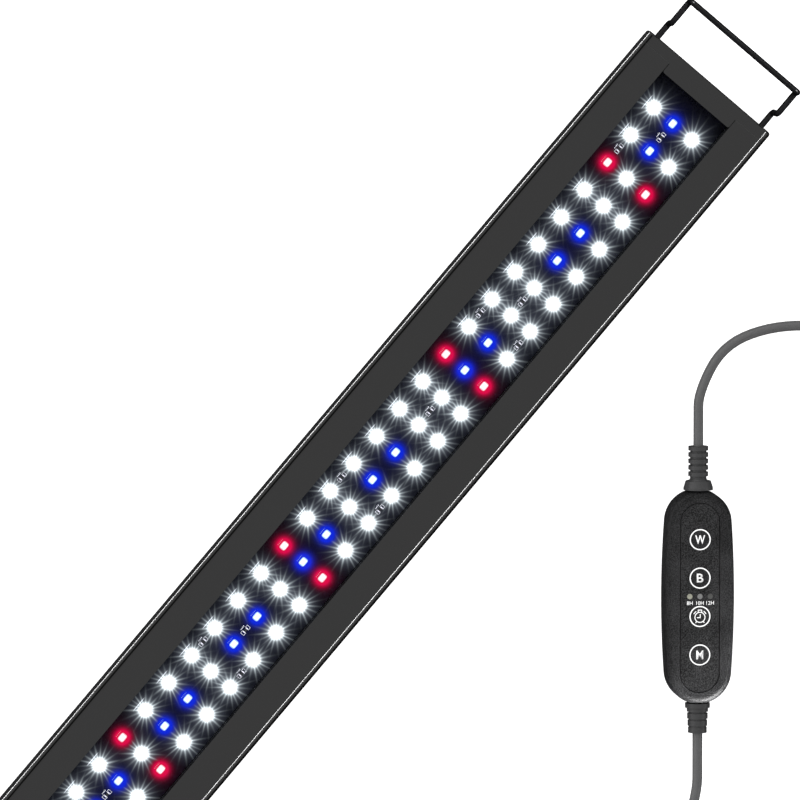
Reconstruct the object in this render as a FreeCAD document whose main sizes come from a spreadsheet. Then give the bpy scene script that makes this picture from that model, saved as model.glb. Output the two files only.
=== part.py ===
import FreeCAD, Part
import math
import os
from types import SimpleNamespace

import Sketcher

# LED aquarium light: a lamp bar with a sliding wire bracket at each end, and an inline controller.
# Millimetres. The bar lies on its back with the light face up. X runs along the bar to the near
# bracket, Z is up, and the origin is the middle of the flat back.

SIZES = {
    # lamp bar
    "lamp_length": 602, "lamp_width": 90.8, "lamp_height": 15, "edge_radius": 3.3,
    "side_bottom": 8.8, "base_width": 62, "slope_bulge": 0.9, "lamp_wall": 1.8,
    "bead_radius": 1.8, "bead_inset": 2.2, "bead_rise": 0.7, "bead_end": 1.2,
    "window_width": 49.4, "seat_height": 5.7,
    "cover_groove_depth": 1.2, "cover_groove_bottom": 11.3, "cover_groove_height": 1.8,
    "cover_play": 0.1, "cover_rib_spacing": 40.6, "cover_rib_width": 0.8, "cover_rib_depth": 0.6,
    "slot_width": 3.0, "slot_depth": 3.4, "slot_pitch": 6.0, "first_slot": 8.0,
    "boss_width": 5.0, "boss_height": 6.8, "screw_height": 4.0, "screw_inset": 2.3,
    # end caps
    "cap_depth": 6.8, "gasket_thickness": 0.3, "gasket_inset": 0.05, "cap_edge": 1.6,
    "tongue_length": 6.2, "tongue_thickness": 1.7, "tongue_corner": 1.2, "tongue_play": 0.3,
    "spigot_length": 10.0, "spigot_play": 0.5,
    "screw_radius": 1.1, "screw_length": 14.0, "screw_head_radius": 2.3, "screw_head_height": 1.5,
    "gland_offset": 22.0, "gland_height": 7.0, "gland_radius": 5.4, "gland_tip_radius": 3.8,
    "gland_flange": 2.5, "gland_length": 14.0,
    # light engine
    "board_width": 48.8, "board_thickness": 1.6, "board_gap": 6.0, "tape_thickness": 0.4,
    "tape_width": 44.0, "first_column": 31.0, "row_pitch": 14.1,
    "led_length": 3.5, "led_width": 2.8, "led_height": 0.8,
    "chip_length": 3.2, "chip_width": 1.6, "chip_height": 0.5,
    "lead_radius": 0.7, "lead_spacing": 2.4, "lead_length": 11.0,
    # wire brackets
    "wire_radius": 1.75, "wire_spacing": 77.2, "wire_height": 10.6, "wire_bend": 2.3,
    "leg_inside": 94.0, "first_run": 10.2, "step_one": 11.6, "second_run": 16.0,
    "step_two": 5.9, "splay": 0.75, "wire_clearance": 0.3,
    "stop_wall": 0.8, "stop_length": 5.0, "stop_inset": 1.2,
    "bush_wall": 0.8, "bush_length": 2.4, "bush_play": 0.06,
    # controller, in its own frame: Y along it to the white button's end, Z up
    "ctrl_x": 77.5, "ctrl_y": -184.05, "ctrl_turn": -49.5,
    "ctrl_length": 120.5, "ctrl_width": 39.8, "ctrl_bulge": 1.5, "ctrl_height": 16.8,
    "parting": 8.4, "shell_wall": 1.8, "crown_radius": 4.2, "foot_radius": 2.0,
    "cavity_top": 13.2, "crown_inset": 4.6, "roof_bottom": 13.9,
    "panel_width": 21.8, "panel_length": 106.6, "panel_gap": 0.4, "panel_thickness": 1.2,
    "panel_sink": 0.2, "button_radius": 6.2, "button_gap": 0.2, "button_pitch": 21.7,
    "button_offset": 0.4, "flange_radius": 7.2, "flange_bottom": 12.6, "flange_top": 13.5,
    "stem_radius": 1.6, "plunger_radius": 1.6, "plunger_bottom": 9.0, "plunger_top": 11.9,
    "switch_side": 6.0, "switch_height": 3.4, "switch_bore": 1.9, "switch_bore_depth": 1.4,
    "pcb_width": 28.0, "pcb_length": 100.0, "pcb_bottom": 4.8, "pcb_thickness": 1.6,
    "lens_radius": 1.5, "lens_gap": 0.1, "lens_bottom": 8.2, "lens_pitch": 5.77, "lens_y": 0.84,
    "post_x": 10.5, "post_y": 42.0, "post_radius": 2.6, "shell_screw_radius": 1.0,
    "shell_screw_head": 2.0, "shell_screw_top": 11.8, "shell_sink": 1.4,
    "neck_radius": 4.0, "neck_play": 0.1, "neck_flange": 0.7,
    # cords and plug
    "cord_radius": 2.8, "coil_turn_radius": 39.2, "coil_lift": 0.8, "coil_layers": 9.3,
    "coil_play": 0.3, "stub_length": 33.0,
    "plug_radius": 5.0, "plug_length": 22.0, "plug_taper": 14.0, "plug_tip_radius": 3.4,
    "barrel_radius": 2.75, "barrel_bore": 2.35, "barrel_length": 9.5,
    "contact_radius": 1.45, "contact_bore": 1.05, "contact_length": 8.0,
}

# One letter per LED column, from the near end to the far end: White, Blue or Red.
OUTER_ROW = "WWRWWWWWWRWWWWWWRWWWWWWRWWWW"
MIDDLE_ROW = "BBWWBBWWBBWWBBWBBWBBWBBWBBWB"
ROWS = {1: OUTER_ROW, 0: MIDDLE_ROW, -1: OUTER_ROW}
# Resistors sit midway between a column and the next: the row, and the columns counted from 0.
RESISTORS = {1: (1, 7, 13, 19, 25), 0: (0, 6, 10, 18, 24), -1: (7, 13, 19, 25)}

# The cords' free routes, by hand: X, Y and the height of the cord's centre. Each also runs to or
# from a tip of its coil.
LAMP_ROUTE_OUT = [
    (-315.0, -22.0, 7.0), (-343.0, -22.0, 7.0), (-361.5, -41.0, 3.1), (-362.5, -71.5, 2.8),
    (-336.3, -96.2, 2.9), (-281.3, -128.1, 3.6),
]
LAMP_ROUTE_IN = [
    (-189.1, -169.6, 9.3), (-166.5, -190.8, 4.6), (-127.4, -229.5, 2.9), (-85.0, -259.5, 2.8),
    (-44.5, -272.2, 3.3), (-8.5, -257.55, 8.4), (18.9, -234.15, 8.4),
]
SUPPLY_ROUTE_OUT = [
    (142.0, -128.95, 8.4), (164.8, -109.45, 8.4), (193.5, -103.5, 3.5), (219.5, -117.0, 3.6),
]
SUPPLY_ROUTE_IN = [
    (290.4, -208.0, 9.3), (302.3, -224.4, 5.1), (304.0, -244.6, 5.0),
]
# Each coil: its middle, the heading of the cord going in and coming out in degrees, and the side
# of the cord that the middle lies on (1 left, -1 right).
LAMP_COIL = {"x": -200.0, "y": -112.0, "in_turn": -17.0, "out_turn": -44.3, "side": 1}
SUPPLY_COIL = {"x": 234.0, "y": -193.0, "in_turn": -48.0, "out_turn": -50.0, "side": -1}


class Size:
    """A number together with the spreadsheet formula that gives it."""

    def __init__(self, number, formula):
        self.number = float(number)
        self.formula = formula

    @staticmethod
    def of(value):
        return value if isinstance(value, Size) else Size(value, f"({float(value)})")

    def __add__(self, other):
        other = Size.of(other)
        return Size(self.number + other.number, f"({self.formula} + {other.formula})")

    def __sub__(self, other):
        other = Size.of(other)
        return Size(self.number - other.number, f"({self.formula} - {other.formula})")

    def __mul__(self, other):
        other = Size.of(other)
        return Size(self.number * other.number, f"({self.formula} * {other.formula})")

    def __truediv__(self, other):
        other = Size.of(other)
        return Size(self.number / other.number, f"({self.formula} / {other.formula})")

    def __rsub__(self, other):
        return Size.of(other) - self

    def __neg__(self):
        return Size.of(0) - self

    __radd__ = __add__
    __rmul__ = __mul__


doc = FreeCAD.newDocument("AquariumLight")
sheet = doc.addObject("Spreadsheet::Sheet", "Sizes")
for row, (name, number) in enumerate(SIZES.items(), start=1):
    sheet.set(f"A{row}", name)
    sheet.set(f"B{row}", str(number))
    sheet.setAlias(f"B{row}", name)
doc.recompute()
s = SimpleNamespace(**{n: Size(v, f"Sizes.{n}") for n, v in SIZES.items()})
Z_AXIS = FreeCAD.Vector(0, 0, 1)
nodes = []
cuts = []


# ---------------------------------------------------------------- helpers


def bind(thing, prop, size):
    thing.setExpression(prop, Size.of(size).formula)


def keep(thing, label):
    """Name a finished sub-part, which is written to its own file."""
    thing.Label = label
    nodes.append(thing)
    return thing


def new_body(label):
    return keep(doc.addObject("PartDesign::Body", label), label)


def sketch_on(body, role, offset=0):
    """A sketch on one of the body's own origin planes, moved along the plane's normal."""
    sketch = body.newObject("Sketcher::SketchObject", "Sketch")
    plane = next(p for p in body.Origin.OriginFeatures if p.Role == role)
    sketch.AttachmentSupport = [(plane, "")]
    sketch.MapMode = "FlatFace"
    bind(sketch, "AttachmentOffset.Base.z", offset)
    return sketch


def fix(sketch, edge, point, x, y):
    """Hold one point of a sketch at x, y from the sketch's origin."""
    for kind, size in (("DistanceX", x), ("DistanceY", y)):
        number = sketch.addConstraint(Sketcher.Constraint(kind, -1, 1, edge, point, size.number))
        bind(sketch, f"Constraints[{number}]", size)


def edge_between(a, b, bulge):
    """A line from a to b, or an arc that stands out by the bulge, and which end of it a is."""
    if bulge is None:
        return Part.LineSegment(a, b), 1
    height = abs(bulge.number)
    out = (b - a).cross(Z_AXIS).normalize() * math.copysign(1, bulge.number)
    radius = ((b - a).Length ** 2 / 4 + height**2) / (2 * height)
    centre = (a + b) / 2 - out * (radius - height)
    turn_a = math.atan2(a.y - centre.y, a.x - centre.x)
    turn_b = math.atan2(b.y - centre.y, b.x - centre.x)
    circle = Part.Circle(centre, Z_AXIS, radius)
    if bulge.number > 0:
        return Part.ArcOfCircle(circle, turn_a, turn_b), 1
    return Part.ArcOfCircle(circle, turn_b, turn_a), 2


def outline(sketch, corners, bulges=None):
    """A closed outline, counterclockwise. A bulge makes the edge that leaves its corner an arc."""
    corners = [(Size.of(x), Size.of(y)) for x, y in corners]
    bulges = {n: Size.of(b) for n, b in (bulges or {}).items()}
    first = sketch.GeometryCount
    starts = []
    for n, (x, y) in enumerate(corners):
        next_x, next_y = corners[(n + 1) % len(corners)]
        a = FreeCAD.Vector(x.number, y.number, 0)
        b = FreeCAD.Vector(next_x.number, next_y.number, 0)
        edge, start = edge_between(a, b, bulges.get(n))
        sketch.addGeometry(edge, False)
        starts.append(start)
    for n, (x, y) in enumerate(corners):
        after = (n + 1) % len(corners)
        next_x, next_y = corners[after]
        join = Sketcher.Constraint(
            "Coincident", first + n, 3 - starts[n], first + after, starts[after]
        )
        sketch.addConstraint(join)
        fix(sketch, first + n, starts[n], x, y)
        if n in bulges:
            wide, high, out = next_x - x, next_y - y, bulges[n]
            radius = ((wide * wide + high * high) / 4 + out * out) / (out * 2)
            if out.number < 0:
                radius = -radius
            arc = sketch.addConstraint(Sketcher.Constraint("Radius", first + n, radius.number))
            bind(sketch, f"Constraints[{arc}]", radius)
    return sketch


def circle(sketch, x, y, radius):
    x, y, radius = Size.of(x), Size.of(y), Size.of(radius)
    centre = FreeCAD.Vector(x.number, y.number, 0)
    edge = sketch.addGeometry(Part.Circle(centre, Z_AXIS, radius.number), False)
    fix(sketch, edge, 3, x, y)
    round_ = sketch.addConstraint(Sketcher.Constraint("Radius", edge, radius.number))
    bind(sketch, f"Constraints[{round_}]", radius)
    return sketch


def rectangle(sketch, x0, y0, x1, y1):
    return outline(sketch, [(x0, y0), (x1, y0), (x1, y1), (x0, y1)])


QUARTER = 1 - math.cos(math.pi / 4)
END_SHARE = 1.15  # how much flatter an end arc is than a quarter circle, for each radian of lean


def capsule(sketch, half_width, half_length, bulge=None):
    """Two half-round ends along Y, joined by straight or slightly bulging sides."""
    half_width, half_length = Size.of(half_width), Size.of(half_length)
    lean = Size.of(0) if bulge is None else bulge * 2 / (half_length - half_width)
    shoulder = half_length - half_width * (1 - lean)
    corners = [
        (half_width, -shoulder), (half_width, shoulder), (0, half_length),
        (-half_width, shoulder), (-half_width, -shoulder), (0, -half_length),
    ]
    # A bulging side leans in where it meets the end, which then turns less than a quarter.
    round_end = half_width * QUARTER * (1 - lean * END_SHARE)
    bulges = {1: round_end, 2: round_end, 4: round_end, 5: round_end}
    if bulge is not None:
        bulges.update({0: bulge, 3: bulge})
    return outline(sketch, corners, bulges)


def pad(body, sketch, length):
    feature = body.newObject("PartDesign::Pad", "Pad")
    feature.Profile = sketch
    bind(feature, "Length", length)
    sketch.Visibility = False
    return feature


def pocket(body, sketch, depth):
    """Cut against the sketch's normal, as deep as is said."""
    feature = body.newObject("PartDesign::Pocket", "Pocket")
    feature.Profile = sketch
    bind(feature, "Length", depth)
    cuts.append(feature)
    return feature


def turned(body, sketch, axis="V_Axis"):
    feature = body.newObject("PartDesign::Revolution", "Revolution")
    feature.Profile = sketch
    feature.ReferenceAxis = (sketch, [axis])
    feature.Angle = 360
    return feature


def dress(body, kind, test, size):
    """Fillet or chamfer the edges of the body's last feature whose points all pass the test."""
    doc.recompute()
    base = body.Tip
    chosen = [
        f"Edge{n}"
        for n, edge in enumerate(base.Shape.Edges, start=1)
        if all(test(edge.valueAt(p)) for p in edge.ParameterRange)
        and test(edge.valueAt(sum(edge.ParameterRange) / 2))
    ]
    feature = body.newObject(f"PartDesign::{kind}", kind)
    feature.Base = (base, chosen)
    bind(feature, "Radius" if kind == "Fillet" else "Size", size)
    return feature


def near(a, b, slack=0.02):
    return abs(a - Size.of(b).number) < slack


def place(thing, x=0, y=0, z=0, turn=0):
    """Place a finished sub-part, turned about Z."""
    for axis, size in (("x", x), ("y", y), ("z", z)):
        bind(thing, f"Placement.Base.{axis}", size)
    thing.Placement.Rotation = FreeCAD.Rotation(Z_AXIS, 1)
    bind(thing, "Placement.Rotation.Angle", turn)


def box(x0, y0, z0, length, width, height):
    solid = doc.addObject("Part::Box", "Box")
    for prop, size in (("Length", length), ("Width", width), ("Height", height)):
        bind(solid, prop, size)
    for axis, size in (("x", x0), ("y", y0), ("z", z0)):
        bind(solid, f"Placement.Base.{axis}", size)
    return solid


def rod(x, y, z, radius, length, direction=(0, 0, 1)):
    solid = doc.addObject("Part::Cylinder", "Rod")
    bind(solid, "Radius", radius)
    bind(solid, "Height", length)
    solid.Placement.Rotation = FreeCAD.Rotation(Z_AXIS, FreeCAD.Vector(*direction))
    for axis, size in (("x", x), ("y", y), ("z", z)):
        bind(solid, f"Placement.Base.{axis}", size)
    return solid


def cut(solid, tool):
    both = doc.addObject("Part::Cut", "Cut")
    both.Base, both.Tool = solid, tool
    return both


def group(label, solids):
    """Identical loose pieces in one node."""
    both = doc.addObject("Part::Compound", label)
    both.Links = solids
    return keep(both, label)


# ---------------------------------------------------------------- lamp housing and caps

half_length = s.lamp_length / 2
cap_face = half_length - s.cap_depth
body_end = cap_face - s.gasket_thickness
half_width = s.lamp_width / 2
side_top = s.lamp_height - s.edge_radius
half_base = s.base_width / 2
half_window = s.window_width / 2
chamber_start = half_window + s.cover_groove_depth + s.lamp_wall
screw_y = chamber_start + s.screw_inset
wire_y = s.wire_spacing / 2
bush_radius = s.wire_radius + s.wire_clearance + s.bush_wall
stop_radius = s.wire_radius + s.stop_wall


def slope_at(y):
    """Height of the sloping back, without its bulge, at a distance from the middle."""
    return s.side_bottom * (y - half_base) / (half_width - half_base)


def lamp_profile(sketch, inset=0):
    """The bar's outer section: X of the sketch across the bar, Y of the sketch up."""
    side, foot, top = half_width - inset, half_base - inset, s.lamp_height - inset
    face = half_width - s.edge_radius
    low = s.side_bottom
    corners = [
        (-foot, Size.of(inset)), (foot, Size.of(inset)), (side, low), (side, side_top),
        (face, top), (-face, top), (-side, side_top), (-side, low),
    ]
    edge_bulge = (s.edge_radius - inset) * QUARTER
    bulges = {1: s.slope_bulge, 3: edge_bulge, 5: edge_bulge, 7: s.slope_bulge}
    return outline(sketch, corners, bulges)


def edge_beads(body, start, length):
    """The round bead raised along each long edge of the light face."""
    sketch = sketch_on(body, "YZ_Plane", start)
    for side in (1, -1):
        height = s.lamp_height + s.bead_rise - s.bead_radius
        circle(sketch, (half_width - s.bead_inset) * side, height, s.bead_radius)
    pad(body, sketch, length)


def chamber_corners(inset=0):
    """The side chamber beside its screw boss. An inset gives the spigot that fits in it."""
    start = chamber_start + s.boss_width + inset
    side, top = half_width - s.lamp_wall - inset, s.lamp_height - s.lamp_wall - inset
    corner = half_width - s.edge_radius - inset
    floor = s.lamp_wall + 0.3 + Size.of(inset) * 1.2
    return [
        (start, slope_at(start) + floor), (side, slope_at(side) + floor),
        (side, side_top - inset), (corner, top), (start, top),
    ]


def both_sides(sketch, corners):
    outline(sketch, corners)
    outline(sketch, [(-x, y) for x, y in reversed(corners)])


def make_housing():
    body = new_body("housing_extrusion")
    pad(body, lamp_profile(sketch_on(body, "YZ_Plane", -body_end)), body_end * 2)
    edge_beads(body, body_end * -1, body_end * 2)
    end = body_end + 1
    whole = end * 2

    window = sketch_on(body, "YZ_Plane", end)
    rectangle(window, -half_window, s.seat_height, half_window, s.lamp_height + 1)
    pocket(body, window, whole)

    grooves = sketch_on(body, "YZ_Plane", end)
    reach = half_window + s.cover_groove_depth
    groove_top = s.cover_groove_bottom + s.cover_groove_height
    rectangle(grooves, -reach, s.cover_groove_bottom, reach, groove_top)
    pocket(body, grooves, whole)

    chambers = sketch_on(body, "YZ_Plane", end)
    corners = chamber_corners()
    corners[-1:] = [
        (chamber_start, corners[-1][1]), (chamber_start, s.boss_height),
        (chamber_start + s.boss_width, s.boss_height),
    ]
    both_sides(chambers, corners)
    pocket(body, chambers, whole)

    slots = sketch_on(body, "YZ_Plane", end)
    for n in range(3):
        start = s.first_slot + s.slot_pitch * n - s.slot_width / 2
        stop = start + s.slot_width
        rectangle(slots, start, -1, stop, s.slot_depth)
        rectangle(slots, -stop, -1, -start, s.slot_depth)
    pocket(body, slots, whole)

    holes = sketch_on(body, "YZ_Plane", end)
    for side in (1, -1):
        circle(holes, screw_y * side, s.screw_height, s.screw_radius + 0.05)
    pocket(body, holes, whole)


def make_cap(label, turn, with_gland):
    """An end cap, built for the near end. The far one is turned half round."""
    body = new_body(label)
    pad(body, lamp_profile(sketch_on(body, "YZ_Plane", cap_face)), s.cap_depth)
    dress(body, "Fillet", lambda p: near(p.x, half_length), s.cap_edge)
    edge_beads(body, cap_face, s.cap_depth - s.bead_end)

    tongue = sketch_on(body, "XY_Plane", s.lamp_height - s.tongue_thickness)
    side = half_window - s.tongue_play
    tip = cap_face - s.tongue_length
    rectangle(tongue, tip, -side, cap_face + 1, side)
    pad(body, tongue, s.tongue_thickness)
    dress(
        body, "Fillet", lambda p: near(p.x, tip) and near(abs(p.y), side), s.tongue_corner
    )

    spigots = sketch_on(body, "YZ_Plane", cap_face - s.spigot_length)
    both_sides(spigots, chamber_corners(s.spigot_play))
    pad(body, spigots, s.spigot_length + 1)

    end = half_length + 1
    bores = sketch_on(body, "YZ_Plane", end)
    seats = sketch_on(body, "YZ_Plane", end)
    screws = sketch_on(body, "YZ_Plane", end)
    heads = sketch_on(body, "YZ_Plane", end)
    for side in (1, -1):
        circle(bores, wire_y * side, s.wire_height, s.wire_radius + s.wire_clearance)
        circle(seats, wire_y * side, s.wire_height, bush_radius + 0.05)
        circle(screws, screw_y * side, s.screw_height, s.screw_radius + 0.15)
        circle(heads, screw_y * side, s.screw_height, s.screw_head_radius + 0.1)
    pocket(body, bores, s.cap_depth + s.spigot_length + 2)
    pocket(body, seats, s.bush_length + 1.1)
    pocket(body, screws, s.cap_depth + 2)
    pocket(body, heads, s.screw_head_height + 1.2)
    if with_gland:
        hole = sketch_on(body, "YZ_Plane", end)
        circle(hole, s.gland_offset, s.gland_height, s.gland_tip_radius)
        pocket(body, hole, s.cap_depth - 1)
    place(body, turn=turn)


def make_gasket(label, turn):
    """A thin sheet behind the cap, open for the spigots, the screws and the tongue."""
    body = new_body(label)
    sketch = sketch_on(body, "YZ_Plane", body_end)
    lamp_profile(sketch, s.gasket_inset)
    pad(body, sketch, s.gasket_thickness)
    openings = sketch_on(body, "YZ_Plane", cap_face + 1)
    both_sides(openings, chamber_corners(s.spigot_play - 0.1))
    for side in (1, -1):
        circle(openings, screw_y * side, s.screw_height, s.screw_radius + 0.15)
    notch = half_window - s.tongue_play + 0.1
    low = s.cover_groove_bottom - 0.5
    rectangle(openings, -notch, low, notch, s.lamp_height + 1)
    pocket(body, openings, s.gasket_thickness + 2)
    place(body, turn=turn)


def make_cap_screws(label, turn):
    body = new_body(label)
    body.AllowCompound = True
    head = half_length - s.screw_head_height - 0.1
    for side in (1, -1):
        shank = circle(
            sketch_on(body, "YZ_Plane", head - s.screw_length),
            screw_y * side, s.screw_height, s.screw_radius,
        )
        pad(body, shank, s.screw_length)
        cap = circle(
            sketch_on(body, "YZ_Plane", head),
            screw_y * side, s.screw_height, s.screw_head_radius,
        )
        pad(body, cap, s.screw_head_height)
    slots = sketch_on(body, "YZ_Plane", half_length)
    for side in (1, -1):
        middle, arm = screw_y * side, s.screw_head_radius * 0.6
        cross = [
            (middle - arm, s.screw_height - 0.3), (middle - 0.3, s.screw_height - 0.3),
            (middle - 0.3, s.screw_height - arm), (middle + 0.3, s.screw_height - arm),
            (middle + 0.3, s.screw_height - 0.3), (middle + arm, s.screw_height - 0.3),
            (middle + arm, s.screw_height + 0.3), (middle + 0.3, s.screw_height + 0.3),
            (middle + 0.3, s.screw_height + arm), (middle - 0.3, s.screw_height + arm),
            (middle - 0.3, s.screw_height + 0.3), (middle - arm, s.screw_height + 0.3),
        ]
        outline(slots, cross)
    pocket(body, slots, 0.9)
    place(body, turn=turn)


def make_bushes(label, turn):
    """Rubber rings in the cap's outer face, which grip the wire."""
    rings = []
    start = half_length - s.bush_length - 0.05
    for side in (1, -1):
        ring = rod(start, wire_y * side, s.wire_height, bush_radius, s.bush_length, (1, 0, 0))
        hole = rod(
            start - 1, wire_y * side, s.wire_height,
            s.wire_radius + s.bush_play, s.bush_length + 2, (1, 0, 0),
        )
        rings.append(cut(ring, hole))
    place(group(label, rings), turn=turn)


def make_gland():
    """The strain relief on the far cap, turned about its own axis along X."""
    body = new_body("cord_gland")
    sketch = sketch_on(body, "XY_Plane")
    inside = s.cap_depth - 2.2
    neck = s.gland_tip_radius - 0.1
    corners = [
        (-inside, 0), (s.gland_length, 0), (s.gland_length, s.gland_tip_radius),
        (s.gland_length - 9, s.gland_radius - 0.7), (s.gland_flange, s.gland_radius - 0.7),
        (s.gland_flange, s.gland_radius), (0, s.gland_radius), (0, neck), (-inside, neck),
    ]
    turned(body, outline(sketch, corners), "H_Axis")
    place(body, -half_length, -s.gland_offset, s.gland_height, 180)


def make_cover():
    body = new_body("acrylic_cover")
    sketch = sketch_on(body, "YZ_Plane", -body_end)
    low = s.cover_groove_bottom + s.cover_play
    high = low + s.cover_groove_height - s.cover_play * 2
    side = half_window + s.cover_groove_depth - s.cover_play * 2
    rib, thick = s.cover_rib_spacing / 2, s.cover_rib_width / 2
    under = low - s.cover_rib_depth
    corners = [
        (-side, low), (-rib - thick, low), (-rib - thick, under), (-rib + thick, under),
        (-rib + thick, low), (rib - thick, low), (rib - thick, under), (rib + thick, under),
        (rib + thick, low), (side, low), (side, high), (-side, high),
    ]
    pad(body, outline(sketch, corners), body_end * 2)


make_housing()
make_cover()
for end, turn in (("near", 0), ("far", 180)):
    make_cap(f"{end}_end_cap", turn, with_gland=end == "far")
    make_gasket(f"{end}_cap_gasket", turn)
    make_cap_screws(f"{end}_cap_screws", turn)
    make_bushes(f"{end}_wire_bushes", turn)
make_gland()

# ---------------------------------------------------------------- light engine

half_board = half_length - s.cap_depth - s.board_gap
board_bottom = s.seat_height + s.tape_thickness
board_top = board_bottom + s.board_thickness
column_pitch = (s.lamp_length - s.first_column * 2) / (len(MIDDLE_ROW) - 1)


def make_light_engine():
    tape = box(
        -half_board + 2, s.tape_width / -2, s.seat_height,
        half_board * 2 - 4, s.tape_width, s.tape_thickness,
    )
    keep(tape, "thermal_tape")
    board = box(
        -half_board, s.board_width / -2, board_bottom,
        half_board * 2, s.board_width, s.board_thickness,
    )
    keep(board, "led_board")
    leds = {"W": [], "B": [], "R": []}
    for row, letters in ROWS.items():
        for column, letter in enumerate(letters):
            x = half_length - s.first_column - column_pitch * column - s.led_length / 2
            y = s.row_pitch * row - s.led_width / 2
            leds[letter].append(box(x, y, board_top, s.led_length, s.led_width, s.led_height))
    for letter, label in (("W", "white_leds"), ("B", "blue_leds"), ("R", "red_leds")):
        group(label, leds[letter])
    chips = []
    for row, columns in RESISTORS.items():
        for column in columns:
            x = half_length - s.first_column - column_pitch * (column + 0.5)
            y = s.row_pitch * row - s.chip_width / 2
            chip = box(
                x - s.chip_length / 2, y, board_top, s.chip_length, s.chip_width, s.chip_height
            )
            chips.append(chip)
    group("chip_resistors", chips)
    leads = [
        rod(
            -body_end, s.lead_spacing / 2 * side - s.gland_offset, board_top + s.lead_radius,
            s.lead_radius, s.lead_length, (1, 0, 0),
        )
        for side in (1, -1)
    ]
    group("board_leads", leads)


make_light_engine()

# ---------------------------------------------------------------- swept wires and cords


def arc_at(before, corner, after, radius=None):
    """The tangent arc at a corner: as large as its two runs allow, or of a set radius."""
    back, on = before - corner, after - corner
    turn = math.pi - back.getAngle(on)
    shorter = min(back.Length, on.Length)
    if radius is None:
        radius = 0.45 * shorter / math.tan(turn / 2)
    reach = radius * math.tan(turn / 2)
    start = corner + back.normalize() * reach
    stop = corner + on.normalize() * reach
    inward = (back + on).normalize()
    middle = corner + inward * (radius / math.cos(turn / 2) - radius)
    return start, middle, stop, radius


def sweep(label, points, wire_radius, bend=None):
    """A round wire or cord along straight runs joined by tangent arcs."""
    points = [FreeCAD.Vector(*p) for p in points]
    edges, radii = [], []
    last = points[0]
    for before, corner, after in zip(points, points[1:], points[2:]):
        start, middle, stop, radius = arc_at(before, corner, after, bend)
        edges += [Part.LineSegment(last, start).toShape(), Part.Arc(start, middle, stop).toShape()]
        radii.append(radius)
        last = stop
    edges.append(Part.LineSegment(last, points[-1]).toShape())
    path = Part.Wire(edges)
    heading = (points[1] - points[0]).normalize()
    section = Part.Wire([Part.Circle(points[0], heading, wire_radius).toShape()])
    solid = path.makePipeShell([section], True, False)
    expected = math.pi * wire_radius**2 * path.Length
    off = abs(solid.Volume / expected - 1)
    rounded = ", ".join(f"{r:.1f}" for r in radii)
    print(f"{label}: {path.Length:.1f} mm, radii {rounded}, volume off by {off:.2%}")
    if off > 0.01:
        raise ValueError(f"{label} has the wrong volume")
    thing = doc.addObject("Part::Feature", label)
    thing.Shape = solid
    return keep(thing, label)


def make_bracket(label, turn):
    """A bent wire: two legs in the bar, two steps towards the light side, and a crossbar."""
    inner = half_length.number - SIZES["leg_inside"]
    first = half_length.number + SIZES["first_run"]
    bar = first + SIZES["second_run"] + 0.3
    low = SIZES["wire_height"]
    middle = low + SIZES["step_one"]
    high = middle + SIZES["step_two"]
    leg = wire_y.number
    spread = leg + SIZES["splay"]
    half = [
        (inner, leg, low), (first, leg, low), (first + 0.3, spread, middle),
        (bar, spread, middle), (bar, spread, high),
    ]
    points = half + [(x, -y, z) for x, y, z in reversed(half)]
    wire = sweep(label, points, SIZES["wire_radius"], SIZES["wire_bend"])
    wire.Placement.Rotation = FreeCAD.Rotation(Z_AXIS, turn)


def make_stops(label, turn):
    """Collars pressed on the legs, which meet the spigots when the bracket is pulled out."""
    collars = []
    start = half_length - s.leg_inside + s.stop_inset
    for side in (1, -1):
        y, z = wire_y * side, s.wire_height
        ring = rod(start, y, z, stop_radius, s.stop_length, (1, 0, 0))
        hole = rod(start - 1, y, z, s.wire_radius + 0.02, s.stop_length + 2, (1, 0, 0))
        collars.append(cut(ring, hole))
    place(group(label, collars), turn=turn)


for end, turn in (("near", 0), ("far", 180)):
    make_bracket(f"{end}_bracket_wire", turn)
    make_stops(f"{end}_wire_stops", turn)

# ---------------------------------------------------------------- controller

shell_half_width = s.ctrl_width / 2 - s.ctrl_bulge
shell_half_length = s.ctrl_length / 2
pcb_top = s.pcb_bottom + s.pcb_thickness
panel_floor = s.ctrl_height - s.panel_sink - s.panel_thickness
panel_top = s.ctrl_height - s.panel_sink
POSTS = [(x, y) for x in (1, -1) for y in (1, -1)]
BUTTONS = {"white": 1.5, "blue": 0.5, "timer": -0.5, "mode": -1.5}
LENSES = {"left": -1, "middle": 0, "right": 1}


def on_controller(thing):
    place(thing, s.ctrl_x, s.ctrl_y, 0, s.ctrl_turn)


def button_y(name):
    return s.button_pitch * BUTTONS[name] + s.button_offset


def shell_outline(sketch, inset=0):
    return capsule(sketch, shell_half_width - inset, shell_half_length - inset, s.ctrl_bulge)


def post_circles(sketch, radius):
    for x, y in POSTS:
        circle(sketch, s.post_x * x, s.post_y * y, radius)
    return sketch


def key_circles(sketch, button_radius, lens_radius):
    for name in BUTTONS:
        circle(sketch, 0, button_y(name), button_radius)
    for side in LENSES.values():
        circle(sketch, s.lens_pitch * side, s.lens_y, lens_radius)
    return sketch


def grommet_bore(body):
    """Half of the round hole in each end wall, on the parting line."""
    bore = sketch_on(body, "XZ_Plane", -shell_half_length - 1)
    circle(bore, 0, s.parting, s.neck_radius + s.neck_play)
    bore_cut = pocket(body, bore, shell_half_length * 2 + 2)
    bore_cut.Reversed = True


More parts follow.
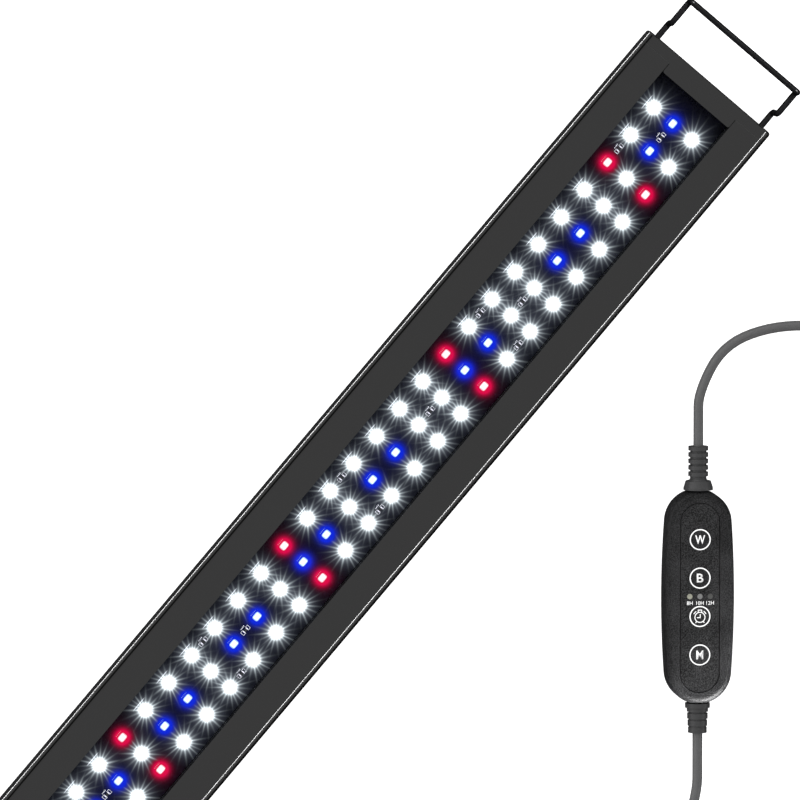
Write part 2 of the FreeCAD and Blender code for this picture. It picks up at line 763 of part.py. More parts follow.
def make_top_shell():
    body = new_body("controller_top_shell")
    rise = s.ctrl_height - s.parting
    pad(body, shell_outline(sketch_on(body, "XY_Plane", s.parting)), rise)
    dress(body, "Fillet", lambda p: near(p.z, s.ctrl_height), s.crown_radius)
    lower = shell_outline(sketch_on(body, "XY_Plane", s.cavity_top), s.shell_wall)
    pocket(body, lower, s.cavity_top - s.parting)
    upper = shell_outline(sketch_on(body, "XY_Plane", s.roof_bottom), s.crown_inset)
    pocket(body, upper, s.roof_bottom - s.parting)
    recess = sketch_on(body, "XY_Plane", s.ctrl_height)
    capsule(recess, s.panel_width / 2 + s.panel_gap, s.panel_length / 2 + s.panel_gap)
    pocket(body, recess, s.ctrl_height - panel_floor)
    posts = post_circles(sketch_on(body, "XY_Plane", pcb_top), s.post_radius)
    pad(body, posts, s.roof_bottom + 0.5 - pcb_top)
    pilots = post_circles(sketch_on(body, "XY_Plane", s.shell_screw_top + 0.6), 1.05)
    pocket(body, pilots, s.shell_screw_top + 0.6 - pcb_top)
    keys = key_circles(
        sketch_on(body, "XY_Plane", s.ctrl_height),
        s.button_radius + s.button_gap, s.lens_radius + s.lens_gap,
    )
    pocket(body, keys, s.ctrl_height - s.roof_bottom + 0.5)
    grommet_bore(body)
    on_controller(body)


def make_base_shell():
    body = new_body("controller_base_shell")
    pad(body, shell_outline(sketch_on(body, "XY_Plane")), s.parting)
    dress(body, "Fillet", lambda p: near(p.z, 0), s.foot_radius)
    cavity = shell_outline(sketch_on(body, "XY_Plane", s.parting), s.shell_wall)
    pocket(body, cavity, s.parting - s.shell_wall)
    posts = post_circles(sketch_on(body, "XY_Plane", s.shell_wall / 2), s.post_radius)
    pad(body, posts, s.pcb_bottom - s.shell_wall / 2)
    holes = post_circles(sketch_on(body, "XY_Plane", s.pcb_bottom), s.shell_screw_radius + 0.2)
    pocket(body, holes, s.pcb_bottom)
    sinks = post_circles(sketch_on(body, "XY_Plane", s.shell_sink), s.shell_screw_head + 0.2)
    pocket(body, sinks, s.shell_sink)
    grommet_bore(body)
    on_controller(body)


def make_keypad_plate():
    body = new_body("keypad_plate")
    plate = sketch_on(body, "XY_Plane", panel_floor)
    capsule(plate, s.panel_width / 2, s.panel_length / 2)
    pad(body, plate, s.panel_thickness)
    keys = key_circles(
        sketch_on(body, "XY_Plane", panel_top),
        s.button_radius + s.button_gap, s.lens_radius + s.lens_gap,
    )
    pocket(body, keys, s.panel_thickness)
    on_controller(body)


def on_controller_at(thing, y):
    """Place a turned piece on the controller's middle line."""
    turn = math.radians(SIZES["ctrl_turn"])
    place(thing, s.ctrl_x - y * math.sin(turn), s.ctrl_y + y * math.cos(turn), 0, s.ctrl_turn)


def make_button(name):
    """A round cap with a flange under the roof and a stem on its switch's plunger."""
    body = new_body(f"button_{name}")
    stem, flange, rim = s.stem_radius, s.flange_radius, s.button_radius
    corners = [
        (0, s.plunger_top), (stem, s.plunger_top), (stem, s.flange_bottom),
        (flange, s.flange_bottom), (flange, s.flange_top), (rim, s.flange_top),
        (rim, panel_top - 0.15), (rim - 0.2, panel_top + 0.05), (0, panel_top + 0.05),
    ]
    turned(body, outline(sketch_on(body, "XZ_Plane"), corners))
    on_controller_at(body, button_y(name))

    plunger = new_body(f"switch_plunger_{name}")
    pin = circle(sketch_on(plunger, "XY_Plane", s.plunger_bottom), 0, 0, s.plunger_radius)
    pad(plunger, pin, s.plunger_top - s.plunger_bottom)
    on_controller_at(plunger, button_y(name))


def make_lenses():
    for name, side in LENSES.items():
        body = new_body(f"indicator_lens_{name}")
        pipe = sketch_on(body, "XY_Plane", s.lens_bottom)
        circle(pipe, s.lens_pitch * side, s.lens_y, s.lens_radius)
        pad(body, pipe, panel_top - s.lens_bottom)
        on_controller(body)


def make_controller_inside():
    board = new_body("control_board")
    sketch = sketch_on(board, "XY_Plane", s.pcb_bottom)
    wide, long = s.pcb_width / 2, s.pcb_length / 2
    rectangle(sketch, -wide, -long, wide, long)
    post_circles(sketch, s.shell_screw_radius + 0.2)
    pad(board, sketch, s.pcb_thickness)
    on_controller(board)

    switches = []
    for name in BUTTONS:
        half = s.switch_side / 2
        case = box(
            -half, button_y(name) - half, pcb_top, s.switch_side, s.switch_side, s.switch_height
        )
        top = pcb_top + s.switch_height
        bore = rod(0, button_y(name), top - s.switch_bore_depth, s.switch_bore, 5)
        switches.append(cut(case, bore))
    on_controller(group("tact_switches", switches))

    lights = [
        box(s.lens_pitch * side - 1, s.lens_y - 0.6, pcb_top, 2, 1.2, 0.8)
        for side in LENSES.values()
    ]
    on_controller(group("indicator_leds", lights))

    chips = [box(7.4, -9.0, pcb_top, 5.0, 8.6, 1.5), box(-10.9, 8.2, pcb_top, 6.6, 6.2, 1.4)]
    chips += [box(-10.6, y, pcb_top, 3.0, 1.8, 1.1) for y in (-26, -21, -16)]
    chips += [box(7.0, y, pcb_top, 1.6, 0.8, 0.5) for y in (16, 18.5, 21, 23.5, -14, -16.5)]
    chips.append(rod(9.0, -25.0, pcb_top, 2.6, 4.6))
    on_controller(group("control_chips", chips))

    screws = []
    for x, y in POSTS:
        head = rod(s.post_x * x, s.post_y * y, 0.15, s.shell_screw_head, s.shell_sink - 0.15)
        length = s.shell_screw_top - s.shell_sink
        shank = rod(s.post_x * x, s.post_y * y, s.shell_sink, s.shell_screw_radius, length)
        screw = doc.addObject("Part::Fuse", "Screw")
        screw.Base, screw.Tool = head, shank
        screws.append(screw)
    on_controller(group("controller_screws", screws))

    leads = [
        rod(1.2 * x, 46.0 * y, pcb_top + s.lead_radius + 0.02, s.lead_radius, 9.6, (0, y, 0))
        for x, y in POSTS
    ]
    on_controller(group("controller_leads", leads))


def make_relief(label, turn, steps):
    """A moulded cord entry, turned about the controller's long axis, outward along its own X."""
    body = new_body(label)
    sketch = sketch_on(body, "XY_Plane")
    inner = shell_half_length - 4.4
    flange = inner + 1.5
    seat = shell_half_length + 0.05
    neck = s.neck_radius
    ring = neck + s.neck_flange
    corners = [(inner, 0), (seat + steps[-1][0], 0)]
    corners += [(seat + x, Size.of(r)) for x, r in reversed(steps)]
    corners += [(seat, neck), (flange, neck), (flange, ring), (inner, ring)]
    turned(body, outline(sketch, corners), "H_Axis")
    place(body, s.ctrl_x, s.ctrl_y, s.parting, s.ctrl_turn + turn)


def ribbed(first, last, count, rib, groove, share=0.62, taper=0.0):
    """Steps of a sleeve: grooves, each followed by a rib, which may be slimmer than the last rib."""
    pitch = (last - first) / count
    steps = []
    for n in range(count):
        start = first + pitch * n
        top = start + pitch * (1 - share)
        width = rib - taper * n
        steps += [(start, groove), (top, groove), (top, width), (start + pitch, width)]
    return steps


make_base_shell()
make_top_shell()
make_keypad_plate()
for name in BUTTONS:
    make_button(name)
make_lenses()
make_controller_inside()
supply_steps = [(0, 8.3), (1.2, 8.3), (5.0, 7.1), (5.0, 5.4)] + ribbed(6.4, 24.5, 5, 5.6, 4.6)
make_relief("supply_strain_relief", 90, supply_steps)
lamp_steps = [(0, 7.0), (2.6, 7.0), (2.6, 6.0), (4.8, 6.0)] + ribbed(4.8, 16.8, 3, 5.8, 5.0, 0.76, 0.25)
make_relief("lamp_strain_relief", -90, lamp_steps)

# ---------------------------------------------------------------- cords and plug


def coil_end(coil, way):
    """Where the cord meets its coil, way -1 going in and 1 coming out: touch point, heading, tip."""
    heading = math.radians(coil["in_turn"] if way < 0 else coil["out_turn"])
    ahead = FreeCAD.Vector(math.cos(heading), math.sin(heading), 0)
    radius = SIZES["coil_turn_radius"] - (SIZES["cord_radius"] * 2 if way > 0 else 0)
    height = SIZES["coil_lift"] + SIZES["cord_radius"] if way < 0 else SIZES["coil_layers"]
    touch = FreeCAD.Vector(coil["x"], coil["y"], height) + ahead.cross(Z_AXIS) * coil["side"] * radius
    return touch, ahead, touch + ahead * way * SIZES["stub_length"]


def make_coil(label, coil):
    """The outer shape of a stored coil: a ring, with a stub for each end of its cord."""
    play = s.coil_play
    outer = s.coil_turn_radius + s.cord_radius + play
    inner = s.coil_turn_radius - s.cord_radius * 5 - play
    low = s.coil_lift - play
    high = s.coil_layers + s.cord_radius + play
    ring = cut(
        rod(coil["x"], coil["y"], low, outer, high - low),
        rod(coil["x"], coil["y"], low - 1, inner, high - low + 2),
    )
    stubs = []
    for way in (-1, 1):
        touch, ahead, tip = coil_end(coil, way)
        stub = rod(
            touch.x, touch.y, touch.z, s.cord_radius, s.stub_length, tuple(ahead * way)
        )
        stubs.append(stub)
    both = doc.addObject("Part::MultiFuse", label)
    both.Shapes = [ring] + stubs
    keep(both, label)


def make_plug():
    """A round moulded plug at the end of the supply cord, lying on the floor."""
    tail, tip = (FreeCAD.Vector(*p) for p in SUPPLY_ROUTE_IN[-2:])
    heading = math.degrees(math.atan2(tip.y - tail.y, tip.x - tail.x))

    def lying(thing):
        place(thing, tip.x, tip.y, s.plug_radius, heading)

    front = s.plug_taper + s.plug_length
    body = new_body("plug_body")
    corners = [
        (0, 0), (front, 0), (front, s.plug_radius - 0.6), (front - 0.6, s.plug_radius),
        (s.plug_taper, s.plug_radius), (0, s.plug_tip_radius),
    ]
    turned(body, outline(sketch_on(body, "XY_Plane"), corners), "H_Axis")
    lying(body)
    tubes = (
        ("plug_barrel", s.barrel_radius, s.barrel_bore, s.barrel_length),
        ("plug_insulator", s.barrel_bore, s.contact_radius, s.contact_length),
        ("plug_contact", s.contact_radius, s.contact_bore, s.contact_length),
    )
    for label, outer, inner, length in tubes:
        tube = new_body(label)
        sketch = sketch_on(tube, "YZ_Plane", front)
        circle(sketch, 0, 0, outer)
        circle(sketch, 0, 0, inner)
        pad(tube, sketch, length)
        lying(tube)


cord = SIZES["cord_radius"]
sweep("lamp_cord_from_lamp", LAMP_ROUTE_OUT + [coil_end(LAMP_COIL, -1)[2]], cord)
sweep("lamp_cord_to_controller", [coil_end(LAMP_COIL, 1)[2]] + LAMP_ROUTE_IN, cord)
sweep("supply_cord_from_controller", SUPPLY_ROUTE_OUT + [coil_end(SUPPLY_COIL, -1)[2]], cord)
sweep("supply_cord_to_plug", [coil_end(SUPPLY_COIL, 1)[2]] + SUPPLY_ROUTE_IN, cord)
make_coil("lamp_cord_coil", LAMP_COIL)
make_coil("supply_cord_coil", SUPPLY_COIL)
make_plug()

# ---------------------------------------------------------------- checks and files

doc.recompute()
for thing in doc.Objects:
    if "Invalid" in thing.State or "Error" in thing.State:
        raise RuntimeError(f"{thing.Name} ({thing.Label}) is {thing.State}")
for feature in cuts:
    if feature.BaseFeature.Shape.Volume - feature.Shape.Volume < 1e-3:
        raise RuntimeError(f"{feature.Name} in {feature.getParentGeoFeatureGroup().Label} cuts nothing")
for thing in nodes:
    if thing.Shape.isNull() or not thing.Shape.isValid() or not thing.Shape.Solids:
        raise RuntimeError(f"{thing.Label} has no valid solid")

os.makedirs("parts", exist_ok=True)
for thing in nodes:
    thing.Shape.exportStep(f"parts/{thing.Label}.step")
print(f"{len(nodes)} sub-parts written")
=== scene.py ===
import math

import bmesh
import bpy
from mathutils import Matrix, Vector


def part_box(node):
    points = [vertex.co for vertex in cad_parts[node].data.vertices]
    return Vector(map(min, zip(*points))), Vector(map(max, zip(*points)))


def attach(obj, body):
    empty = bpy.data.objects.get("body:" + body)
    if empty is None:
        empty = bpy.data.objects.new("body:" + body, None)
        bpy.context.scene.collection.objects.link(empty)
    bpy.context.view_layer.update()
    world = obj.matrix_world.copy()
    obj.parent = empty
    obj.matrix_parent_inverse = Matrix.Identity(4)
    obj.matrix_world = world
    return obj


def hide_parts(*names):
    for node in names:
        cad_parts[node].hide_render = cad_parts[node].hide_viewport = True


# Looks of the LED aquarium light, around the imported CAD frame. Metres. The bar runs along X with
# its light side up, and the controller lies on the same floor in front of it.

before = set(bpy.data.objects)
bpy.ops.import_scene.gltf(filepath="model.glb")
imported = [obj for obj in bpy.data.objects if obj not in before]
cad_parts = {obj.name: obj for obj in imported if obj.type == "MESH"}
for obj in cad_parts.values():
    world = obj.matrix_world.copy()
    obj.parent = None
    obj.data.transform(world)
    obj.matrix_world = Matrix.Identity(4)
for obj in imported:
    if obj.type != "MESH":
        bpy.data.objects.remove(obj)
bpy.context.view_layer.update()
MM = 0.001


def middle_of(node):
    low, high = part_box(node)
    return (Vector(low) + Vector(high)) / 2


# ---------------------------------------------------------------- places taken from the frame

BOARD_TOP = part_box("led_board")[1][2]
leds_high = Vector(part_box("white_leds")[1])
LED_SIZE = Vector((3.5, 2.8, 0.8)) * MM
FIRST_COLUMN = leds_high.x - LED_SIZE.x / 2
COLUMNS = 28
COLUMN_PITCH = 2 * FIRST_COLUMN / (COLUMNS - 1)
ROW_PITCH = leds_high.y - LED_SIZE.y / 2

# One letter per LED column, from the near end to the far end: White, Blue or Red.
OUTER_ROW = "WWRWWWWWWRWWWWWWRWWWWWWRWWWW"
MIDDLE_ROW = "BBWWBBWWBBWWBBWBBWBBWBBWBBWB"
ROWS = {1: OUTER_ROW, 0: MIDDLE_ROW, -1: OUTER_ROW}
RESISTORS = {1: (1, 7, 13, 19, 25), 0: (0, 6, 10, 18, 24), -1: (7, 13, 19, 25)}

plate_middle = middle_of("keypad_plate")
PLATE_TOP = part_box("keypad_plate")[1][2]
BUTTON_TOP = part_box("button_white")[1][2]
along = (middle_of("button_white") - middle_of("button_mode")).normalized()


def on_controller(x, y, z=0.0):
    """A point given across and along the controller, from the middle of its keypad."""
    across = Vector((along.y, -along.x, 0))
    return Vector((plate_middle.x, plate_middle.y, z)) + across * x + along * y


# ---------------------------------------------------------------- node helpers


class Nodes:
    """Adds nodes to a tree. A value that is a socket is linked, and any other is set."""

    def __init__(self, tree):
        self.tree = tree

    def set(self, node, socket, value):
        slot = node.inputs[socket]
        if isinstance(value, bpy.types.NodeSocket):
            self.tree.links.new(value, slot)
        elif value is not None:
            slot.default_value = value

    def add(self, kind, inputs=None, **settings):
        node = self.tree.nodes.new(kind)
        for name, value in settings.items():
            setattr(node, name, value)
        for socket, value in (inputs or {}).items():
            self.set(node, socket, value)
        return node

    def math(self, operation, a, b=None, c=None):
        node = self.add("ShaderNodeMath", {0: a, 1: b, 2: c}, operation=operation)
        return node.outputs[0]

    def noise(self, where, scale, detail=3.0, roughness=0.55):
        inputs = {"Vector": where, "Scale": scale, "Detail": detail, "Roughness": roughness}
        return self.add("ShaderNodeTexNoise", inputs).outputs["Fac"]

    def remap(self, value, low, high, to_low, to_high, smooth=False):
        inputs = {0: value, 1: low, 2: high, 3: to_low, 4: to_high}
        node = self.add("ShaderNodeMapRange", inputs)
        node.interpolation_type = "SMOOTHSTEP" if smooth else "LINEAR"
        return node.outputs[0]

    def mix(self, share, a, b):
        node = self.add("ShaderNodeMix", data_type="RGBA")
        self.set(node, 0, share)
        self.set(node, 6, a)
        self.set(node, 7, b)
        return node.outputs[2]

    def scaled(self, colour, amount):
        node = self.add("ShaderNodeVectorMath", {0: colour, "Scale": amount}, operation="SCALE")
        return node.outputs[0]

    def plus(self, a, b):
        return self.add("ShaderNodeVectorMath", {0: a, 1: b}, operation="ADD").outputs[0]


def rgb(colour):
    return (*colour, 1.0)


def new_material(name):
    material = bpy.data.materials.new(name)
    material.use_nodes = True
    material.node_tree.nodes.clear()
    n = Nodes(material.node_tree)
    output = n.add("ShaderNodeOutputMaterial")
    where = n.add("ShaderNodeTexCoord").outputs["Object"]
    return material, n, output, where


def moulded(name, colour, rough, grain_mm=0.3, bump=0.1, vary=0.25, blotch_mm=18.0, **sockets):
    """Plastic, rubber or coated metal: fine grain, faint uneven tone, and worn smoother patches."""
    material, n, output, where = new_material(name)
    grain = n.noise(where, 1 / (grain_mm * MM), 2.0)
    blotch = n.noise(where, 1 / (blotch_mm * MM), 4.0)
    tone = n.math("ADD", n.math("MULTIPLY", grain, 0.8), n.math("MULTIPLY", blotch, 0.2))
    dark = rgb([c * (1 - vary) for c in colour])
    light = rgb([min(1, c * (1 + vary)) for c in colour])
    base = n.mix(n.remap(tone, 0.38, 0.62, 0.0, 1.0), dark, light)
    roughness = n.remap(blotch, 0.3, 0.7, rough * 0.88, min(1.0, rough * 1.12))
    relief = n.add("ShaderNodeBump", {"Strength": bump, "Distance": grain_mm * MM * 0.4})
    n.set(relief, "Height", grain)
    inputs = {"Base Color": base, "Roughness": roughness, "Normal": relief.outputs[0], **sockets}
    shader = n.add("ShaderNodeBsdfPrincipled", inputs)
    n.set(output, "Surface", shader.outputs[0])
    return material


def brushed(name, colour, rough, stretch=(1, 1, 18), **sockets):
    """Bare metal with fine lines along one axis."""
    material, n, output, where = new_material(name)
    mapping = n.add("ShaderNodeMapping", {"Vector": where, "Scale": stretch})
    lines = n.noise(mapping.outputs[0], 900.0, 3.0)
    dark = rgb([c * 0.8 for c in colour])
    base = n.mix(n.remap(lines, 0.3, 0.7, 0.0, 1.0), dark, rgb(colour))
    roughness = n.remap(lines, 0.3, 0.7, rough * 0.8, rough * 1.25)
    relief = n.add("ShaderNodeBump", {"Strength": 0.08, "Distance": 0.00003, "Height": lines})
    inputs = {
        "Base Color": base, "Roughness": roughness, "Metallic": 1.0,
        "Normal": relief.outputs[0], **sockets,
    }
    shader = n.add("ShaderNodeBsdfPrincipled", inputs)
    n.set(output, "Surface", shader.outputs[0])
    return material


# ---------------------------------------------------------------- light of the LEDs

# Colours of the light that each kind of LED throws on the board around it.
WHITE_GLOW = (0.98, 1.0, 0.97)
STREAK = (0.47, 0.52, 0.52)
HAZE = (0.008, 0.009, 0.026)
BLUE_GLOW = (0.0, 0.018, 0.66)
BLUE_HAZE = (0.003, 0.003, 0.045)
BLUE_CORE = (0.55, 0.80, 0.5)
RED_GLOW = (0.74, 0.0, 0.050)
RED_HAZE = (0.036, 0.001, 0.010)
RED_CORE = (0.4, 0.66, 0.66)
GLINT = (0.9, 0.95, 1.0)

# Sizes of that light, in millimetres.
STREAKS = 9.5  # half the number of streaks round a white LED
STREAK_WIDTH = 0.42
STREAK_START = 4.2
STREAK_FADE = 2.2
DISC_INNER, DISC_OUTER = 2.3, 5.5
HAZE_SPREAD = 70.0  # square millimetres
BLOCK_HALF_LENGTH, BLOCK_HALF_WIDTH = 2.35, 1.85
PAD_LINE = 3.0
GLINT_LINE = 19.1


def glow_group():
    """What one LED adds at a point of the board, from the offset to it in millimetres."""
    tree = bpy.data.node_groups.new("led_glow", "ShaderNodeTree")
    for name in ("Across", "Along", "Phase"):
        tree.interface.new_socket(name, in_out="INPUT", socket_type="NodeSocketFloat")
    tree.interface.new_socket("Kind", in_out="INPUT", socket_type="NodeSocketColor")
    tree.interface.new_socket("Light", in_out="OUTPUT", socket_type="NodeSocketColor")
    tree.interface.new_socket("Streaks", in_out="OUTPUT", socket_type="NodeSocketColor")
    tree.interface.new_socket("Clear", in_out="OUTPUT", socket_type="NodeSocketFloat")
    n = Nodes(tree)
    given = n.add("NodeGroupInput").outputs
    result = n.add("NodeGroupOutput")
    x, y, phase = given["Across"], given["Along"], given["Phase"]
    kind = n.add("ShaderNodeSeparateColor", {0: given["Kind"]}).outputs
    square = n.math("ADD", n.math("MULTIPLY", x, x), n.math("MULTIPLY", y, y))
    radius = n.math("SQRT", square)
    angle = n.math("ARCTAN2", y, x)

    # White: a burnt-out disc, thin streaks of uneven length and a grey-blue haze.
    wobble = n.math("SINE", n.math("ADD", n.math("MULTIPLY", angle, 3.0), phase))
    bent = n.math("MULTIPLY", n.math("ADD", angle, n.math("MULTIPLY", wobble, 0.05)), STREAKS)
    beside = n.math("DIVIDE", n.math("MULTIPLY", radius, n.math("SINE", bent)), STREAKS)
    turns = n.math("ADD", n.math("MULTIPLY", angle, 5.0), n.math("MULTIPLY", phase, 2.3))
    more = n.math("ADD", n.math("MULTIPLY", angle, 7.0), n.math("MULTIPLY", phase, 4.1))
    uneven = n.math("MULTIPLY_ADD", n.math("SINE", turns), 0.4, 1.4)
    uneven = n.math("MULTIPLY_ADD", n.math("SINE", more), 0.4, uneven)
    thin = n.math("DIVIDE", beside, STREAK_WIDTH)
    line = n.math("EXPONENT", n.math("MULTIPLY", n.math("MULTIPLY", thin, thin), -1.0))
    rays = n.math("MULTIPLY_ADD", line, uneven, 0.36)
    beyond = n.math("MAXIMUM", n.math("SUBTRACT", radius, STREAK_START), 0.0)
    fade = n.math("EXPONENT", n.math("DIVIDE", beyond, -STREAK_FADE))
    streaks = n.math("MULTIPLY", rays, fade)
    disc = n.remap(radius, DISC_INNER, DISC_OUTER, 1.1, 0.0, smooth=True)
    haze = n.math("EXPONENT", n.math("DIVIDE", square, -HAZE_SPREAD))
    around = n.plus(n.scaled(STREAK, streaks), n.scaled(HAZE, haze))

    # A row of pads beside a coloured package catches its light.
    beat = n.math("GREATER_THAN", n.math("SINE", n.math("MULTIPLY", x, 6.6)), 0.2)
    near = n.remap(n.math("ABSOLUTE", n.math("SUBTRACT", y, PAD_LINE)), 0.15, 0.35, 1.0, 0.0)
    within = n.remap(n.math("ABSOLUTE", x), 1.9, 2.3, 1.0, 0.0)
    dots = n.math("MULTIPLY", n.math("MULTIPLY", beat, near), within)

    # Blue and red: a disc with a soft rim, and a pale block where the package stands.
    def coloured(colour, haze_colour, core_colour, peak, spread):
        body = n.math("EXPONENT", n.math("DIVIDE", square, -spread))
        body = n.math("MINIMUM", n.math("MULTIPLY", body, peak), 1.0)
        wide = n.math("POWER", n.math("ABSOLUTE", n.math("DIVIDE", x, BLOCK_HALF_LENGTH)), 4.0)
        deep = n.math("POWER", n.math("ABSOLUTE", n.math("DIVIDE", y, BLOCK_HALF_WIDTH)), 4.0)
        block = n.remap(n.math("ADD", wide, deep), 0.6, 1.5, 1.0, 0.0, smooth=True)
        lit = n.plus(n.scaled(colour, body), n.scaled(haze_colour, haze))
        lit = n.plus(lit, n.scaled(core_colour, n.math("MULTIPLY", dots, 0.35)))
        return n.plus(lit, n.scaled(core_colour, block))

    blue = coloured(BLUE_GLOW, BLUE_HAZE, BLUE_CORE, 3.0, 15.0)
    red = coloured(RED_GLOW, RED_HAZE, RED_CORE, 3.35, 13.0)
    total = n.plus(n.scaled(n.scaled(WHITE_GLOW, disc), kind[0]), n.scaled(blue, kind[2]))
    total = n.plus(total, n.scaled(red, kind[1]))
    n.set(result, "Light", total)
    n.set(result, "Streaks", n.scaled(around, kind[0]))
    # White streaks don't show over a coloured package's own glow.
    near_blue = n.math("MULTIPLY", n.remap(radius, 3.8, 6.4, 1.0, 0.0, smooth=True), kind[2])
    near_red = n.math("MULTIPLY", n.remap(radius, 4.6, 7.4, 1.0, 0.0, smooth=True), kind[1])
    n.set(result, "Clear", n.math("SUBTRACT", 1.0, n.math("MAXIMUM", near_blue, near_red)))
    return tree


def kind_lookup(n, column, letters):
    """The kind of the LED in a column, as a colour: white, red or blue LED in its channels."""
    place = n.math("DIVIDE", n.math("ADD", column, 0.5), float(COLUMNS))
    ramp = n.add("ShaderNodeValToRGB", {0: place})
    ramp.color_ramp.interpolation = "CONSTANT"
    elements = ramp.color_ramp.elements
    elements.remove(elements[1])
    colours = {"W": (1, 0, 0, 1), "R": (0, 1, 0, 1), "B": (0, 0, 1, 1)}
    for index, letter in enumerate(letters):
        if index and letter == letters[index - 1]:
            continue
        element = elements[0] if index == 0 else elements.new(index / COLUMNS)
        element.color = colours[letter]
    return ramp.outputs[0]


def lit_board_material():
    """Black solder mask with the light that the LEDs throw on it, worked out from the position."""
    material, n, output, where = new_material("lit_solder_mask")
    part = n.add("ShaderNodeSeparateXYZ", {0: where}).outputs
    x, y = n.math("DIVIDE", part[0], MM), n.math("DIVIDE", part[1], MM)
    columns = n.math("DIVIDE", n.math("SUBTRACT", FIRST_COLUMN / MM, x), COLUMN_PITCH / MM)
    lower = n.math("FLOOR", columns)
    group = glow_group()
    light = streaks = glints = (0.0, 0.0, 0.0)
    clear = 1.0
    for step in (0.0, 1.0):
        column = n.math("ADD", lower, step)
        inside = n.math(
            "MULTIPLY", n.math("GREATER_THAN", column, -0.5),
            n.math("LESS_THAN", column, COLUMNS - 0.5),
        )
        offset = n.math("MULTIPLY", n.math("SUBTRACT", column, columns), COLUMN_PITCH / MM)
        for row, letters in ROWS.items():
            kind = n.scaled(kind_lookup(n, column, letters), inside)
            glow = n.add("ShaderNodeGroup", node_tree=group)
            n.set(glow, "Across", offset)
            n.set(glow, "Along", n.math("SUBTRACT", y, ROW_PITCH / MM * row))
            n.set(glow, "Phase", n.math("MULTIPLY_ADD", column, 1.7, row * 2.1))
            n.set(glow, "Kind", kind)
            light = n.plus(light, glow.outputs["Light"])
            streaks = n.plus(streaks, glow.outputs["Streaks"])
            clear = n.math("MULTIPLY", clear, glow.outputs["Clear"])
            if row == 1:
                # The window's wall throws a thin bright line past each white LED of this row.
                off = n.math("ABSOLUTE", n.math("SUBTRACT", y, GLINT_LINE))
                line = n.remap(off, 0.1, 0.3, 1.0, 0.0)
                short = n.remap(n.math("ABSOLUTE", offset), 2.5, 5.5, 1.0, 0.0, smooth=True)
                white = n.add("ShaderNodeSeparateColor", {0: kind}).outputs[0]
                line = n.math("MULTIPLY", n.math("MULTIPLY", line, short), white)
                glints = n.plus(glints, n.scaled(GLINT, line))
    light = n.plus(n.plus(light, n.scaled(streaks, clear)), glints)
    grain = n.noise(where, 2500.0, 2.0)
    weave = n.noise(where, 160.0, 5.0)
    base = n.mix(n.remap(weave, 0.35, 0.65, 0.0, 1.0), rgb((0.0015, 0.0015, 0.003)),
                 rgb((0.004, 0.004, 0.007)))
    bump = n.add("ShaderNodeBump", {"Strength": 0.1, "Distance": 0.00005, "Height": grain})
    inputs = {
        "Base Color": base, "Roughness": n.remap(weave, 0.3, 0.7, 0.2, 0.34),
        "Specular IOR Level": 0.02, "Normal": bump.outputs[0],
        "Emission Color": light, "Emission Strength": 1.0,
    }
    shader = n.add("ShaderNodeBsdfPrincipled", inputs)
    n.set(output, "Surface", shader.outputs[0])
    material.cycles.emission_sampling = "NONE"
    return material


def glowing(name, edge, heart, strength, size_mm=2.0):
    """Resin over a lit chip: brightest in uneven spots."""
    material, n, output, where = new_material(name)
    spots = n.noise(where, 1 / (size_mm * MM), 2.0)
    colour = n.mix(n.remap(spots, 0.35, 0.65, 0.0, 1.0), rgb(edge), rgb(heart))
    inputs = {
        "Base Color": colour, "Roughness": n.remap(spots, 0.3, 0.7, 0.15, 0.3),
        "Emission Color": colour, "Emission Strength": strength,
    }
    shader = n.add("ShaderNodeBsdfPrincipled", inputs)
    n.set(output, "Surface", shader.outputs[0])
    material.cycles.emission_sampling = "NONE"
    return material


def clear_acrylic():
    """A polished clear sheet: see-through, mirroring a little, with faint smears."""
    material, n, output, where = new_material("clear_acrylic")
    facing = n.add("ShaderNodeLayerWeight", {"Blend": 0.5}).outputs["Facing"]
    mirror = n.math("MULTIPLY", n.math("POWER", facing, 5.0), 0.35)
    smear = n.noise(where, 45.0, 4.0)
    inputs = {
        "Base Color": n.mix(smear, rgb((0.92, 0.95, 1.0)), rgb((1.0, 1.0, 1.0))),
        "Metallic": 1.0, "Roughness": n.remap(smear, 0.35, 0.7, 0.03, 0.12),
    }
    gloss = n.add("ShaderNodeBsdfPrincipled", inputs)
    through = n.add("ShaderNodeBsdfTransparent", {"Color": (0.97, 0.98, 1.0, 1.0)})
    both = n.add("ShaderNodeMixShader", {0: mirror})
    n.set(both, 1, through.outputs[0])
    n.set(both, 2, gloss.outputs[0])
    n.set(output, "Surface", both.outputs[0])
    return material


# ---------------------------------------------------------------- materials by slot

